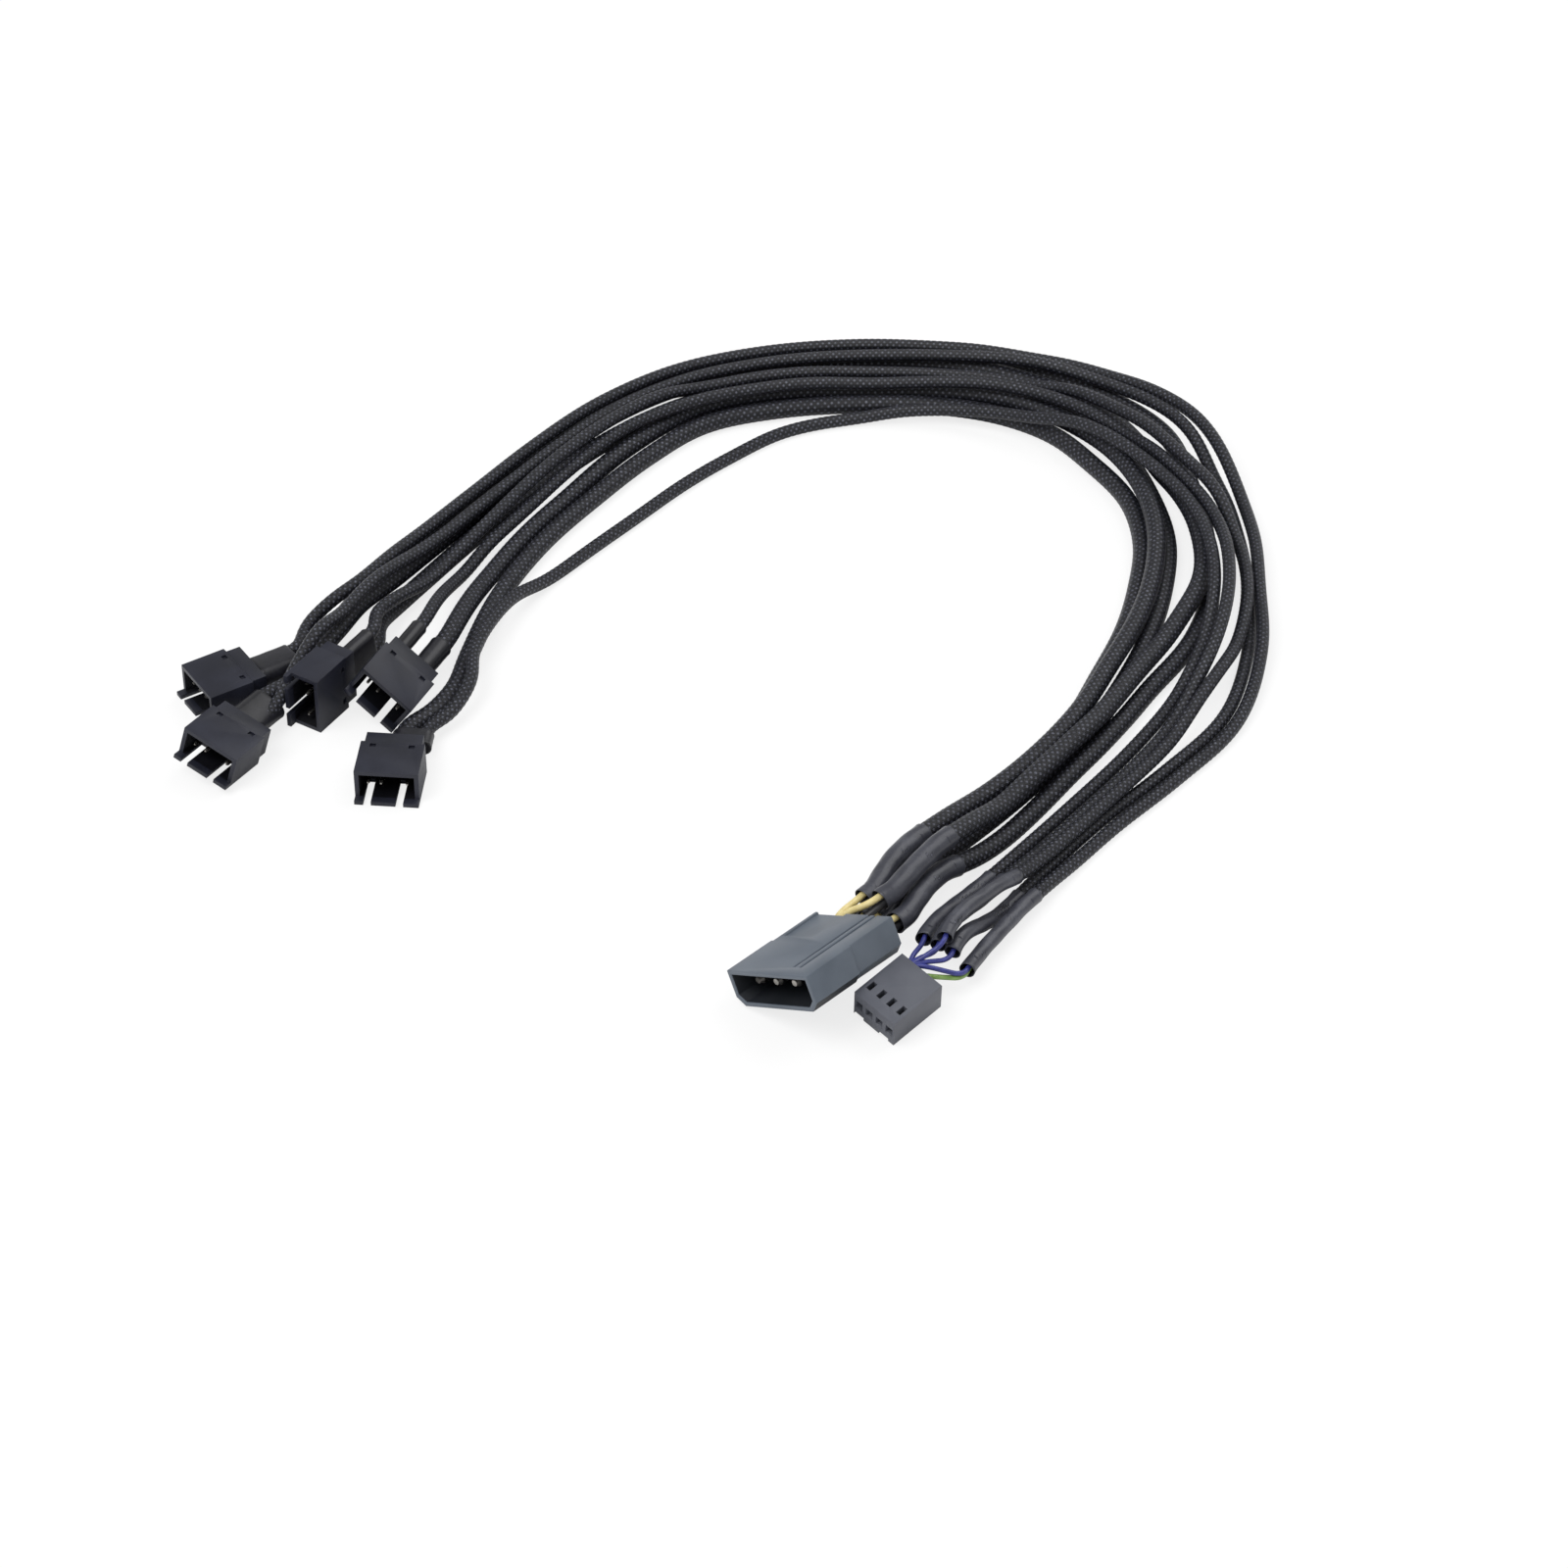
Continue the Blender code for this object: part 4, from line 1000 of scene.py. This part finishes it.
cavities = [box_rings(either_side(x, FAN_CAVITY[0]), (-FAN_NECK_LENGTH, PAST), either_side(0, FAN_CAVITY[1]))
            for x in fan_ways]
ink = moulded_material("black_moulded_plastic", (0.007, 0.008, 0.013), (0.011, 0.012, 0.021),
                       (0.018, 0.020, 0.033))
# Darker copy of the black plastic: painted shade for the inside of the fan plugs' mouths.
painted_shade_ink = moulded_material("black_plastic_painted_shade", (0.002, 0.002, 0.003), (0.003, 0.003, 0.005),
                              (0.006, 0.006, 0.009))
for number, place in fan_seats.items():
    housing("fan_plug_%d_shell" % number, "fan_plug_%d_housing" % number, place,
            loft(rings), [[open_top], [mouth], [*slots, *latches], pin_holes, cavities], ink, FAN_EDGE,
            (w - FAN_WALL, -FAN_TOP_LENGTH + FAN_SHADE_FROM, floor, h - FAN_WALL), painted_shade_ink)

# Pins and contacts
# Tinned brass, turned or folded from strip. The solids have their true shape, so they only get a finish:
# slightly yellow metal with fine draw lines and a dull bloom, painted darker than bright tin to stand
# for the shade in the plug mouths.


def tinned_material():
    """Tin over brass, drawn, with a dull bloom; its colour is painted darker for the shade in the plug
    mouths.
    """
    n = Finish("tinned_brass", (0.40, 0.38, 0.35), 0.34)
    draw_lines = n.noise(1800, 3, (1, 1, 0.2))
    bloom = n.noise(600, 3)
    # The whole ramp is darker than bright tin: painted shade for pins deep in the plug mouths, over a random
    # bloom.
    n.give("Base Color", n.ramp(bloom, [(0.35, (0.28, 0.27, 0.25)), (0.7, (0.46, 0.44, 0.41))]))
    n.give("Roughness", n.math("ADD", 0.18, n.math("MULTIPLY", bloom, 0.25)))
    n.give("Metallic", 1.0)
    n.bump(draw_lines, 0.2, 0.00002)
    return n.material


tinned = tinned_material()
for node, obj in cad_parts.items():
    if "_pin_" in node or "_contact_" in node:
        for material_slot in obj.material_slots:
            material_slot.material = tinned

# Table and light
# A matt white table under two large soft lamps and a bright, even room, so that the black cables show
# their edges and their weave. The camera sees the table whiter than its own light would make it.
TABLE_HALF = 6.0
TABLE_THICKNESS = 0.02
TABLE_BELOW = 0.00005
TABLE_WHITENESS = 0.78
ROOM_LIGHT = 0.55


def white_table():
    """A wide slab just under the object."""
    corners = [(-TABLE_HALF, -TABLE_HALF), (TABLE_HALF, -TABLE_HALF), (TABLE_HALF, TABLE_HALF),
               (-TABLE_HALF, TABLE_HALF)]
    slab = [[(x, y, z) for x, y in corners] for z in (-TABLE_THICKNESS, -TABLE_BELOW)]
    data = to_mesh("table", loft(slab))
    obj = link("table", data)
    n = Finish("white_table", (0.9, 0.9, 0.9), 0.9, specular=0.1)
    white = n.add("ShaderNodeEmission")
    blend = n.add("ShaderNodeMixShader")
    seen = n.add("ShaderNodeLightPath").outputs["Is Camera Ray"]
    n.wire(n.math("MULTIPLY", seen, TABLE_WHITENESS), blend.inputs[0])
    n.wire(n.shader.outputs[0], blend.inputs[1])
    n.wire(white.outputs[0], blend.inputs[2])
    n.wire(blend.outputs[0], n.tree.nodes["Material Output"].inputs["Surface"])
    data.materials.append(n.material)


def lamp(name, place, size, power):
    """A round soft lamp that points at the middle of the photograph."""
    data = bpy.data.lights.new(name, "AREA")
    data.shape = "DISK"
    data.size = size
    data.energy = power
    obj = link(name, data)
    obj.location = place
    obj.rotation_euler = (Vector(place) - target).to_track_quat("Z", "Y").to_euler()


white_table()
lamp("key_lamp", place=(-0.7, -0.5, 1.5), size=1.2, power=20)
lamp("fill_lamp", place=(0.9, 0.7, 1.2), size=1.4, power=10)
world = bpy.data.worlds.new("room")
world.use_nodes = True
background = world.node_tree.nodes["Background"]
background.inputs["Color"].default_value = (1, 1, 1, 1)
background.inputs["Strength"].default_value = ROOM_LIGHT
scene.world = world
scene.view_settings.view_transform = "Standard"
